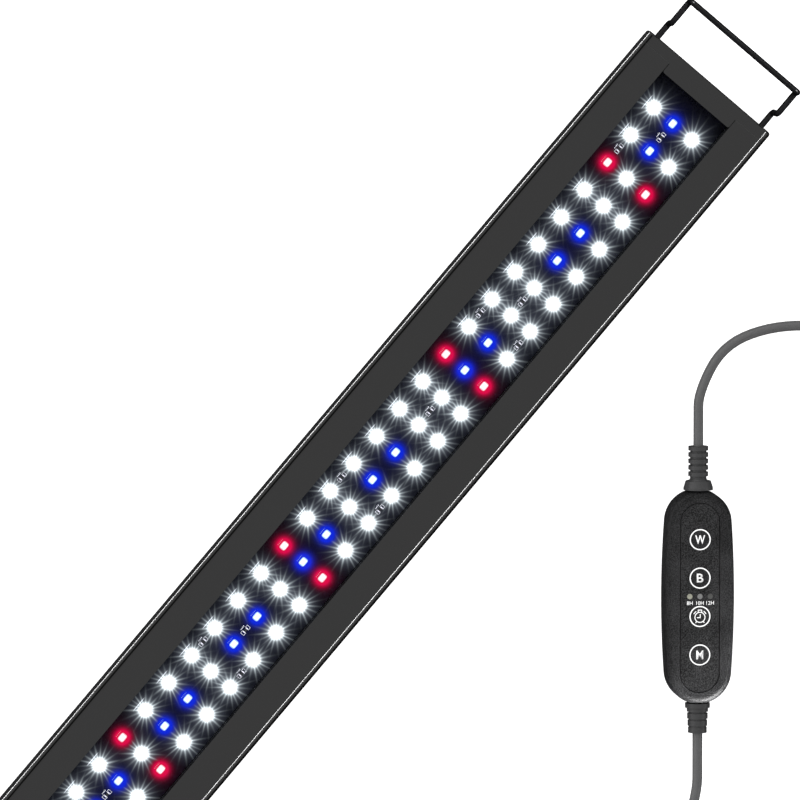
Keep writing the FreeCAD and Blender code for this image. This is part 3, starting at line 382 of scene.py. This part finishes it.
MATERIALS = {
    "anodised_aluminium": moulded(
        "anodised_aluminium", (0.005, 0.005, 0.0051), 0.19, 0.35, 0.012, 0.06,
        **{"Specular IOR Level": 0.42},
    ),
    "cap_plastic": moulded(
        "cap_plastic", (0.005, 0.005, 0.0051), 0.21, 0.4, 0.015, 0.06,
        **{"Specular IOR Level": 0.42},
    ),
    "seal_rubber": moulded("seal_rubber", (0.018, 0.018, 0.0182), 0.5, 0.5, 0.2, 0.2),
    "screw_steel": brushed("screw_steel", (0.20, 0.20, 0.21), 0.35),
    "clear_acrylic": clear_acrylic(),
    "solder_mask": lit_board_material(),
    "thermal_pad": moulded("thermal_pad", (0.5, 0.51, 0.55), 0.8, 0.8, 0.3, 0.1),
    "white_led": glowing("white_led_resin", (0.95, 0.96, 1.0), (1.0, 1.0, 1.0), 1.6),
    "blue_led": glowing("blue_led_resin", (0.55, 0.75, 1.0), (0.9, 0.96, 1.0), 1.0),
    "red_led": glowing("red_led_resin", (1.0, 0.6, 0.62), (1.0, 0.88, 0.88), 1.0),
    "chip_resistor": moulded("chip_resistor", (0.012, 0.012, 0.014), 0.3, 0.4, 0.05, 0.2),
    # The tinned ends glow faintly: painted light from the LEDs beside them.
    "solder": brushed(
        "solder", (0.8, 0.78, 0.82), 0.45, (1, 1, 1),
        **{"Emission Color": rgb((0.75, 0.72, 0.8)), "Emission Strength": 0.7},
    ),
    "lead_insulation": moulded("lead_insulation", (0.25, 0.02, 0.02), 0.4, 0.5, 0.08, 0.2),
    "black_wire": moulded(
        "black_wire", (0.0008, 0.0008, 0.0009), 0.3, 0.6, 0.02, 0.2,
        **{"Specular IOR Level": 0.02, "Coat Weight": 0.08, "Coat Roughness": 0.1},
    ),
    "steel_collar": brushed("steel_collar", (0.55, 0.55, 0.56), 0.3),
    "shell_plastic": moulded(
        "shell_plastic", (0.010, 0.010, 0.0104), 0.36, 0.62, 0.9, 1.5,
        **{"Specular IOR Level": 0.1},
    ),
    "keypad_plastic": moulded(
        "keypad_plastic", (0.0145, 0.0145, 0.015), 0.5, 0.62, 0.9, 1.6,
        **{"Specular IOR Level": 0.08},
    ),
    "button_plastic": moulded(
        "button_plastic", (0.0145, 0.0145, 0.015), 0.5, 0.62, 0.9, 1.6,
        **{"Specular IOR Level": 0.08},
    ),
    "lens_plastic": moulded("lens_plastic", (0.18, 0.18, 0.16), 0.25, 0.6, 0.05, 0.15),
    "switch_plastic": moulded("switch_plastic", (0.05, 0.05, 0.05), 0.45, 0.4, 0.1, 0.2),
    "green_board": moulded("green_board", (0.012, 0.12, 0.05), 0.3, 0.5, 0.08, 0.3, 4.0),
    "component_plastic": moulded("component_plastic", (0.03, 0.03, 0.032), 0.5, 0.3, 0.2, 0.2),
    "cord_pvc": moulded(
        "cord_pvc", (0.085, 0.085, 0.086), 0.4, 0.5, 0.12, 0.15,
        **{"Specular IOR Level": 0.4},
    ),
    "relief_pvc": moulded(
        "relief_pvc", (0.034, 0.034, 0.035), 0.45, 0.5, 0.15, 0.2,
        **{"Specular IOR Level": 0.35},
    ),
    "plug_pvc": moulded("plug_pvc", (0.016, 0.016, 0.017), 0.45, 0.4, 0.2, 0.2),
    "nickel_contact": brushed("nickel_contact", (0.72, 0.70, 0.66), 0.2),
    "tie_nylon": moulded("tie_nylon", (0.016, 0.016, 0.018), 0.6, 0.35, 0.4, 0.3),
    # The ink glows faintly: painted light that keeps the legends bright white.
    "white_ink": moulded(
        "white_ink", (0.95, 0.95, 0.95), 0.6, 0.4, 0.02, 0.04,
        **{"Emission Color": rgb((1.0, 1.0, 1.0)), "Emission Strength": 0.2},
    ),
    # The board's printing glows faintly: painted light from the LEDs around it.
    "board_ink": moulded(
        "board_ink", (0.75, 0.74, 0.8), 0.6, 0.4, 0.05, 0.9, 2.0,
        **{"Emission Color": rgb((0.8, 0.8, 0.9)), "Emission Strength": 0.35},
    ),
}

LENS_TONES = {
    "left": (0.30, 0.30, 0.24), "middle": (0.19, 0.19, 0.19), "right": (0.06, 0.06, 0.058),
}
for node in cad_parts.values():
    for index, material in enumerate(node.data.materials):
        node.data.materials[index] = MATERIALS[material.name.split(".")[0]]
for name in ("supply_strain_relief", "lamp_strain_relief", "cord_gland"):
    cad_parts[name].data.materials[0] = MATERIALS["relief_pvc"]
for side, tone in LENS_TONES.items():
    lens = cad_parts[f"indicator_lens_{side}"]
    lens.data.materials[0] = moulded(f"lens_{side}", tone, 0.3, 0.6, 0.05, 0.15)


# ---------------------------------------------------------------- making pieces


def add_piece(name, mesh, slot, body="root", materials=()):
    """A mesh as a piece of the object, riding on a body."""
    piece = bpy.data.objects.new(name, mesh)
    bpy.context.scene.collection.objects.link(piece)
    for material in materials or (MATERIALS[slot],):
        mesh.materials.append(material)
    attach(piece, body)
    return piece


# ---------------------------------------------------------------- cords

CORD_RADIUS = 2.8 * MM
TURN_RADIUS = 39.2 * MM
FLOOR_LAYER = 3.6 * MM
POINTS_PER_TURN = 18
FLAT_DEGREES = 720  # turned on the floor, before the last turn climbs
ROLL_DEGREES = 160  # taken to climb on top of the turn beneath
LAYER_PLAY = 0.1 * MM

LAMP_ROUTE_OUT = [
    (-0.3150, -0.0220, 0.0070), (-0.3430, -0.0220, 0.0070), (-0.3615, -0.0410, 0.0031),
    (-0.3625, -0.0715, 0.0028), (-0.3363, -0.0962, 0.0029), (-0.2813, -0.1281, 0.0036),
    (-0.2430, -0.1398, 0.0036),
]
LAMP_ROUTE_IN = [
    (-0.1998, -0.1591, 0.0093), (-0.1891, -0.1696, 0.0093), (-0.1665, -0.1908, 0.0046),
    (-0.1274, -0.2295, 0.0029), (-0.0850, -0.2595, 0.0028), (-0.0445, -0.2722, 0.0033),
    (-0.0085, -0.25755, 0.0084), (0.0067, -0.2446, 0.0084), (0.0189, -0.23415, 0.0084),
]
SUPPLY_ROUTE_OUT = [
    (0.1420, -0.12895, 0.0084), (0.1534, -0.1192, 0.0084), (0.1648, -0.10945, 0.0084),
    (0.1935, -0.1035, 0.0035), (0.2195, -0.1170, 0.0036), (0.2410, -0.1422, 0.0036),
]
SUPPLY_ROUTE_IN = [
    (0.2810, -0.1967, 0.0093), (0.2904, -0.2080, 0.0093), (0.3023, -0.2244, 0.0051),
    (0.3040, -0.2446, 0.0050),
]
# Each coil: its middle, the angle where the cord meets it, how far it goes round, and which way.
LAMP_COIL = {"middle": (-0.200, -0.112), "start": -107.0, "turned": 1052.7, "way": 1}
SUPPLY_COIL = {"middle": (0.234, -0.193), "start": 42.0, "turned": 1082.0, "way": -1}


def coil_turns(coil):
    """Two turns inwards on the floor, then one that rolls up over them and out."""
    pitch = CORD_RADIUS * 2
    points = []
    steps = round(coil["turned"] / 360 * POINTS_PER_TURN)
    for step in range(steps + 1):
        turned = coil["turned"] * step / steps
        radius = TURN_RADIUS - pitch * turned / 360
        height = FLOOR_LAYER
        above = turned - FLAT_DEGREES
        if above > 0:
            beneath = radius + pitch
            rolled = min(above / ROLL_DEGREES, 1.0) * math.pi / 2
            flat = coil["turned"] - FLAT_DEGREES - ROLL_DEGREES
            out = max(0.0, (above - ROLL_DEGREES) / flat)
            radius = beneath - pitch * math.cos(rolled)
            radius += (TURN_RADIUS - pitch - radius) * out
            height = FLOOR_LAYER + (pitch + LAYER_PLAY) * math.sin(rolled)
        angle = math.radians(coil["start"] + turned * coil["way"])
        x, y = coil["middle"]
        points.append((x + radius * math.cos(angle), y + radius * math.sin(angle), height))
    return points


def make_cord(name, points, replaced):
    curve = bpy.data.curves.new(name, "CURVE")
    curve.dimensions = "3D"
    curve.bevel_depth = CORD_RADIUS
    curve.bevel_resolution = 5
    curve.use_fill_caps = True
    curve.resolution_u = 6
    spline = curve.splines.new("NURBS")
    spline.points.add(len(points) - 1)
    for place, point in zip(spline.points, points):
        place.co = (*point, 1.0)
    spline.order_u = 3
    spline.use_endpoint_u = True
    cord = bpy.data.objects.new(name, curve)
    bpy.context.scene.collection.objects.link(cord)
    curve.materials.append(MATERIALS["cord_pvc"])
    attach(cord, "root")
    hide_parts(*replaced)
    return cord


def make_tie(name, coil, angle):
    """A woven strap round one side of a coil."""
    x, y = coil["middle"]
    outward = Vector((math.cos(math.radians(angle)), math.sin(math.radians(angle)), 0))
    sideways = Vector((-outward.y, outward.x, 0))
    inner, outer = TURN_RADIUS - 14.9 * MM, TURN_RADIUS + 3.3 * MM
    low, high = 0.3 * MM, 12.6 * MM
    middle = Vector((x, y, 0)) + outward * (inner + outer) / 2 + Vector((0, 0, (low + high) / 2))
    half_r, half_z, corner = (outer - inner) / 2, (high - low) / 2, 4.0 * MM
    loop = []
    for quarter, (a, b) in enumerate(((1, 1), (-1, 1), (-1, -1), (1, -1))):
        for step in range(7):
            turn = math.radians(90 * quarter + 15 * step)
            loop.append((
                a * (half_r - corner) + corner * math.cos(turn),
                b * (half_z - corner) + corner * math.sin(turn),
            ))
    mesh = bmesh.new()
    thick, half_width = 0.6 * MM, 3.2 * MM
    profile = [(0, -1), (0.5, -0.9), (0.5, 0.9), (0, 1), (-0.5, 0.9), (-0.5, -0.9)]
    rings = []
    for r, z in loop:
        out = Vector((r, z)).normalized()
        ring = []
        for t, w in profile:
            at = middle + outward * (r + out.x * thick * t) + sideways * half_width * w
            at.z += z + out.y * thick * t
            ring.append(mesh.verts.new(at))
        rings.append(ring)
    for first, second in zip(rings, rings[1:] + rings[:1]):
        for k in range(len(profile)):
            k2 = (k + 1) % len(profile)
            mesh.faces.new((first[k], first[k2], second[k2], second[k]))
    bmesh.ops.recalc_face_normals(mesh, faces=mesh.faces)
    data = bpy.data.meshes.new(name)
    mesh.to_mesh(data)
    mesh.free()
    for polygon in data.polygons:
        polygon.use_smooth = True
    return add_piece(name, data, "tie_nylon")


lamp_cord = make_cord(
    "lamp_cord", LAMP_ROUTE_OUT + coil_turns(LAMP_COIL) + LAMP_ROUTE_IN,
    ("lamp_cord_from_lamp", "lamp_cord_to_controller", "lamp_cord_coil"),
)
supply_cord = make_cord(
    "supply_cord", SUPPLY_ROUTE_OUT + coil_turns(SUPPLY_COIL) + SUPPLY_ROUTE_IN,
    ("supply_cord_from_controller", "supply_cord_to_plug", "supply_cord_coil"),
)
lamp_tie = make_tie("lamp_cord_tie", LAMP_COIL, 75.0)
supply_tie = make_tie("supply_cord_tie", SUPPLY_COIL, 215.0)

# ---------------------------------------------------------------- parts of the light engine


def chamfered_block(target, low, high, chamfer, material=0, slopes=0.0):
    """Adds a block with chamfered upright corners and top edges. Its ends may slope inwards."""
    (x0, y0, z0), (x1, y1, z1) = low, high
    c = chamfer

    def ring(inset, z, lean=0.0):
        i = inset
        corners = [
            (x0 + i + lean, y0 + i + c), (x0 + i + c + lean, y0 + i),
            (x1 - i - c - lean, y0 + i), (x1 - i - lean, y0 + i + c),
            (x1 - i - lean, y1 - i - c), (x1 - i - c - lean, y1 - i),
            (x0 + i + c + lean, y1 - i), (x0 + i + lean, y1 - i - c),
        ]
        return [target.verts.new((x, y, z)) for x, y in corners]

    rings = [ring(0, z0), ring(0, z1 - c, slopes), ring(c * 0.7, z1, slopes)]
    faces = [target.faces.new(rings[0][::-1]), target.faces.new(rings[-1])]
    for lower, upper in zip(rings, rings[1:]):
        for k in range(8):
            k2 = (k + 1) % 8
            faces.append(target.faces.new((lower[k], lower[k2], upper[k2], upper[k])))
    for face in faces:
        face.material_index = material


def dome(target, centre, radius, rise, material=0):
    """Adds a low round lens that stands on a plane."""
    x, y, z = centre
    rings = []
    for part in (0.0, 0.35, 0.65, 0.88):
        r = radius * math.cos(part * math.pi / 2)
        height = z + rise * math.sin(part * math.pi / 2)
        rings.append([
            target.verts.new((x + r * math.cos(a), y + r * math.sin(a), height))
            for a in (math.tau * k / 16 for k in range(16))
        ])
    for lower, upper in zip(rings, rings[1:]):
        for k in range(16):
            k2 = (k + 1) % 16
            face = target.faces.new((lower[k], lower[k2], upper[k2], upper[k]))
            face.material_index = material
            face.smooth = True
    target.faces.new(rings[-1]).material_index = material


LED_FRAME_HEIGHT = 0.5 * MM
LED_STEP_HEIGHT = 0.62 * MM
LED_STEP_INSET = 0.3 * MM
LENS_RADIUS, LENS_RISE = 1.0 * MM, 0.18 * MM


def column_x(column):
    return FIRST_COLUMN - COLUMN_PITCH * column


def make_leds(letter, name, slot, node):
    """The packages of one colour: a frame with a step, and a lens over the chip."""
    mesh = bmesh.new()
    half = LED_SIZE / 2
    for row, letters in ROWS.items():
        for column, kind in enumerate(letters):
            if kind != letter:
                continue
            x, y, z = column_x(column), ROW_PITCH * row, BOARD_TOP
            frame_top, step_top = z + LED_FRAME_HEIGHT, z + LED_STEP_HEIGHT
            low = (x - half.x, y - half.y, z)
            high = (x + half.x, y + half.y, frame_top)
            chamfered_block(mesh, low, high, 0.22 * MM)
            low = (x - half.x + LED_STEP_INSET, y - half.y + LED_STEP_INSET, frame_top)
            high = (x + half.x - LED_STEP_INSET, y + half.y - LED_STEP_INSET, step_top)
            chamfered_block(mesh, low, high, 0.1 * MM)
            dome(mesh, (x, y, step_top), LENS_RADIUS, LENS_RISE)
    data = bpy.data.meshes.new(name)
    mesh.to_mesh(data)
    mesh.free()
    piece = add_piece(name, data, slot)
    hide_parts(node)


CHIP_HALF_LENGTH, CHIP_HALF_WIDTH, CHIP_TOP = 0.95 * MM, 0.8 * MM, 0.5 * MM
SOLDER_REACH = 1.6 * MM
PAD_MIDDLE, PAD_HALF_LENGTH = 1.95 * MM, 1.0 * MM
OUTLINE_REACH, OUTLINE_END = 1.15 * MM, 2.85 * MM
OUTLINE_HALF_WIDTH = 0.13 * MM
PRINT_THICKNESS = 0.04 * MM


def make_resistors():
    """Chip resistors with tinned ends, a printed outline at each end and marks beside them."""
    parts, outline = bmesh.new(), bmesh.new()
    ink_low, ink_high = BOARD_TOP, BOARD_TOP + PRINT_THICKNESS

    def line(x0, x1, y0, y1, chamfer=0.02 * MM):
        low, high = (x0, y0, ink_low), (x1, y1, ink_high)
        chamfered_block(outline, low, high, chamfer)

    for row, columns in RESISTORS.items():
        for column in columns:
            x, y, z = column_x(column + 0.5), ROW_PITCH * row, BOARD_TOP
            front, back, top = y - CHIP_HALF_WIDTH, y + CHIP_HALF_WIDTH, z + CHIP_TOP
            low = (x - CHIP_HALF_LENGTH, front, z + 0.03 * MM)
            high = (x + CHIP_HALF_LENGTH, back, top)
            chamfered_block(parts, low, high, 0.08 * MM, 0)
            for side in (1, -1):
                end, tip = sorted((x + CHIP_HALF_LENGTH * side, x + SOLDER_REACH * side))
                chamfered_block(parts, (end, front, z + 0.02 * MM), (tip, back, top), 0.1 * MM, 1)
                # Three printed lines round each end.
                middle, across = x + PAD_MIDDLE * side, OUTLINE_HALF_WIDTH
                for edge in (y + OUTLINE_REACH * side, y - OUTLINE_REACH * side):
                    line(middle - PAD_HALF_LENGTH, middle + PAD_HALF_LENGTH,
                         edge - across, edge + across)
                edge = x + OUTLINE_END * side
                line(edge - across, edge + across, y - 1.1 * MM, y + 1.1 * MM)
            for mark in (-1.5, -0.7, 0.1, 0.9):
                taller = 0.2 * (mark > 0)
                line(x + mark * MM, x + (mark + 0.5) * MM, y + 1.9 * MM, y + (2.5 + taller) * MM,
                     0.03 * MM)
    for name, mesh, slot, materials in (
        ("chip_resistor_parts", parts, "chip_resistor",
         (MATERIALS["chip_resistor"], MATERIALS["solder"])),
        ("board_printing", outline, "white_ink", (MATERIALS["board_ink"],)),
    ):
        data = bpy.data.meshes.new(name)
        mesh.to_mesh(data)
        mesh.free()
        piece = add_piece(name, data, slot, materials=materials)
        if slot == "chip_resistor":
            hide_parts("chip_resistors")


make_leds("W", "white_led_packages", "white_led", "white_leds")
make_leds("B", "blue_led_packages", "blue_led", "blue_leds")
make_leds("R", "red_led_packages", "red_led", "red_leds")
make_resistors()

# ---------------------------------------------------------------- legends on the controller

INK_THICKNESS = 0.04 * MM


class Print:
    """White ink on the controller, drawn in millimetres across and along it."""

    def __init__(self, name, body, top, middle=0.0):
        self.name, self.body, self.top, self.middle = name, body, top, middle
        self.mesh = bmesh.new()

    def strip(self, inner, outer, closed=False):
        """A strip between two lines of points."""
        a = [self.mesh.verts.new((x, y, 0)) for x, y in inner]
        b = [self.mesh.verts.new((x, y, 0)) for x, y in outer]
        last = len(a) if closed else len(a) - 1
        for k in range(last):
            k2 = (k + 1) % len(a)
            self.mesh.faces.new((a[k], b[k], b[k2], a[k2]))

    def arc(self, centre, radius, width, start=0.0, stop=360.0, steps=48):
        """Part of a ring, its angles in degrees."""
        closed = stop - start >= 360
        angles = [start + (stop - start) * k / steps for k in range(steps + (not closed))]
        lines = [
            [
                (centre[0] + r * math.cos(math.radians(a)), centre[1] + r * math.sin(math.radians(a)))
                for a in angles
            ]
            for r in (radius - width / 2, radius + width / 2)
        ]
        self.strip(*lines, closed=closed)

    def bar(self, start, stop, width):
        start, stop = Vector(start), Vector(stop)
        side = (stop - start).normalized().orthogonal() * width / 2
        self.strip([start - side, stop - side], [start + side, stop + side])

    def text(self, words, height, centre, weight, stretch=1.0):
        """Plain sans letters of a set height, made bolder by an offset."""
        curve = bpy.data.curves.new(words, "FONT")
        curve.body = words
        curve.size = 1.0
        curve.offset = weight
        curve.resolution_u = 6
        holder = bpy.data.objects.new(words, curve)
        bpy.context.scene.collection.objects.link(holder)
        bpy.context.view_layer.update()
        letters = bpy.data.meshes.new_from_object(holder)
        bpy.data.objects.remove(holder)
        low = [min(v.co[k] for v in letters.vertices) for k in (0, 1)]
        high = [max(v.co[k] for v in letters.vertices) for k in (0, 1)]
        scale = height / (high[1] - low[1])
        for vertex in letters.vertices:
            for k, size in enumerate((scale * stretch, scale)):
                vertex.co[k] = (vertex.co[k] - (low[k] + high[k]) / 2) * size + centre[k]
        self.mesh.from_mesh(letters)

    def finish(self):
        """Gives the ink its thickness and lays it on the controller."""
        mesh = self.mesh
        bmesh.ops.recalc_face_normals(mesh, faces=mesh.faces)
        for face in mesh.faces:
            if face.normal.z < 0:
                face.normal_flip()
        grown = bmesh.ops.extrude_face_region(mesh, geom=list(mesh.faces))["geom"]
        lifted = [v for v in grown if isinstance(v, bmesh.types.BMVert)]
        for vertex in mesh.verts:
            vertex.co = on_controller(
                vertex.co.x * MM, vertex.co.y * MM + self.middle, self.top
            )
        for vertex in lifted:
            vertex.co.z += INK_THICKNESS
        bmesh.ops.recalc_face_normals(mesh, faces=mesh.faces)
        data = bpy.data.meshes.new(self.name)
        mesh.to_mesh(data)
        mesh.free()
        return add_piece(self.name, data, "button_plastic", self.body, (MATERIALS["white_ink"],))


def button_place(name):
    return (middle_of(f"button_{name}") - plate_middle).dot(along)


def clock_icon(ink):
    """An alarm clock: face, hands, bells, handle and feet."""
    ink.arc((0, -0.45), 2.85, 0.5)
    ink.bar((0.15, -0.9), (0.15, 1.35), 0.5)
    ink.bar((0.4, -0.65), (-1.7, -0.65), 0.5)
    for side in (1, -1):
        centre = 90 - 47 * side
        ink.arc((0, -0.45), 3.95, 0.5, centre - 15, centre + 15, 10)
        ink.bar((1.85 * side, -2.75), (2.45 * side, -3.6), 0.5)
        ink.bar((1.0 * side, 2.45), (1.0 * side, 3.75), 0.42)
    ink.bar((-1.2, 3.65), (1.2, 3.65), 0.5)


LEGENDS = {"white": ("W", 0.74), "blue": ("B", 1.08), "mode": ("M", 0.86)}
for button in ("white", "blue", "timer", "mode"):
    ink = Print(f"legend_{button}", f"{button}_button", BUTTON_TOP, button_place(button))
    ink.arc((0, 0), 5.62, 0.68, steps=72)
    if button in LEGENDS:
        letter, stretch = LEGENDS[button]
        ink.text(letter, 5.0, (0, 0), 0.014, stretch)
    else:
        clock_icon(ink)
    ink.finish()

lens_place = (middle_of("indicator_lens_middle") - plate_middle).dot(along)
lens_pitch = (middle_of("indicator_lens_right") - middle_of("indicator_lens_middle")).length / MM
hours = Print("legend_hours", "root", PLATE_TOP, lens_place)
for side, words in ((-1, "8H"), (0, "10H"), (1, "12H")):
    hours.text(words, 2.1, (lens_pitch * side, -3.7), 0.01)
hours.finish()

# ---------------------------------------------------------------- stage, light and camera


def make_stage():
    mesh = bpy.data.meshes.new("floor")
    reach = 30.0
    corners = [(-reach, -reach, 0), (reach, -reach, 0), (reach, reach, 0), (-reach, reach, 0)]
    mesh.from_pydata(corners, [], [(0, 1, 2, 3)])
    floor = bpy.data.objects.new("floor", mesh)
    bpy.context.scene.collection.objects.link(floor)
    floor.location.z = -0.0002
    material, n, output, where = new_material("floor_paper")
    inputs = {
        "Base Color": rgb((0.8, 0.8, 0.8)), "Roughness": 0.9,
        "Specular IOR Level": 0.1, "Emission Color": rgb((1.0, 1.0, 1.0)),
        "Emission Strength": 0.85,
    }
    shader = n.add("ShaderNodeBsdfPrincipled", inputs)
    n.set(output, "Surface", shader.outputs[0])
    mesh.materials.append(material)
    floor.visible_glossy = False


def make_world():
    """A white studio with one dark side, which the right of each raised edge mirrors."""
    world = bpy.data.worlds.new("studio")
    bpy.context.scene.world = world
    world.use_nodes = True
    world.node_tree.nodes.clear()
    n = Nodes(world.node_tree)
    direction = n.add("ShaderNodeTexCoord").outputs["Generated"]
    part = n.add("ShaderNodeSeparateXYZ", {0: direction}).outputs
    side, height = part[1], part[2]
    level = n.remap(side, -0.75, -0.3, 0.05, 1.0, smooth=True)
    level = n.math("MULTIPLY", level, n.remap(side, 0.35, 0.8, 1.0, 2.0, smooth=True))
    level = n.math("MULTIPLY", level, n.remap(height, -0.02, 0.02, 0.03, 1.0))
    background = n.add("ShaderNodeBackground", {"Color": rgb((1.0, 1.0, 1.0)), "Strength": level})
    n.set(n.add("ShaderNodeOutputWorld"), "Surface", background.outputs[0])


def add_light(name, place, target, size, power):
    light = bpy.data.lights.new(name, "AREA")
    light.shape = "RECTANGLE"
    light.size, light.size_y = size
    light.energy = power
    lamp = bpy.data.objects.new(name, light)
    bpy.context.scene.collection.objects.link(lamp)
    lamp.location = place
    lamp.rotation_mode = "QUATERNION"
    lamp.rotation_quaternion = (Vector(target) - Vector(place)).to_track_quat("-Z", "Y")
    return lamp


def keep_to(lamp, nodes):
    """Lets a lamp light only some CAD nodes."""
    lit = bpy.data.collections.new(f"{lamp.name}_lights")
    for name in nodes:
        lit.objects.link(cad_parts[name])
    lamp.light_linking.receiver_collection = lit
    return lit


def keep_off(lamp, nodes):
    """Keeps a lamp's light off some CAD nodes."""
    for link in keep_to(lamp, nodes).collection_objects:
        link.light_linking.link_state = "EXCLUDE"


VIEW_TARGET = Vector((0.0539, 0.0173, 0.0085))
VIEW_TILT = math.radians(9.0)
VIEW_UP = math.radians(40.5)
VIEW_WIDTH = 0.4464


def make_camera():
    """A long lens that looks down on the light side, tilted towards the bar's far edge."""
    data = bpy.data.cameras.new("camera")
    data.lens = 400.0
    data.sensor_width = 36.0
    distance = VIEW_WIDTH * data.lens / data.sensor_width
    data.clip_start = 0.1
    data.clip_end = 100.0
    camera = bpy.data.objects.new("camera", data)
    bpy.context.scene.collection.objects.link(camera)
    back = Vector((0, math.sin(VIEW_TILT), math.cos(VIEW_TILT)))
    up = Vector((math.cos(VIEW_UP), math.sin(VIEW_UP), 0))
    right = up.cross(back).normalized()
    up = back.cross(right).normalized()
    camera.matrix_world = Matrix((
        (right.x, up.x, back.x, 0), (right.y, up.y, back.y, 0), (right.z, up.z, back.z, 0),
        (0, 0, 0, 1),
    ))
    camera.location = VIEW_TARGET + back * distance
    bpy.context.scene.camera = camera


make_stage()
make_world()
LAMP_BODY = ("housing_extrusion", "near_end_cap", "far_end_cap")
# One strip gives the left bead its highlight, and the other lights everything but the bar.
left_strip = add_light("left_strip", (0.0, 1.5, 0.55), (0, 0, 0), (2.6, 0.24), 12)
left_strip.data.spread = math.radians(50)
keep_to(left_strip, LAMP_BODY)
for side in (1, -1):
    place, target = (0.9, 0.7 * side, 0.9), (0.32, 0, 0.02)
    spot = add_light(f"glint_light_{side}", place, target, (0.5, 0.5), 110)
    keep_to(spot, ("near_bracket_wire", "far_bracket_wire"))
right_strip = add_light("right_strip", (0.3, -1.6, 0.60), (0, 0, 0), (2.6, 0.22), 9)
keep_off(right_strip, LAMP_BODY)
low_end = on_controller(0.05, -0.15, 0.055)
for label, power, nodes in (
    ("shell_end_light", 1.5, ("controller_top_shell", "controller_base_shell")),
    ("panel_end_light", 0.55, [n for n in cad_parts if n.startswith(("keypad", "button"))]),
):
    keep_to(add_light(label, low_end, on_controller(0, -0.05), (0.08, 0.06), power), nodes)
make_camera()
bpy.context.scene.view_settings.view_transform = "Standard"
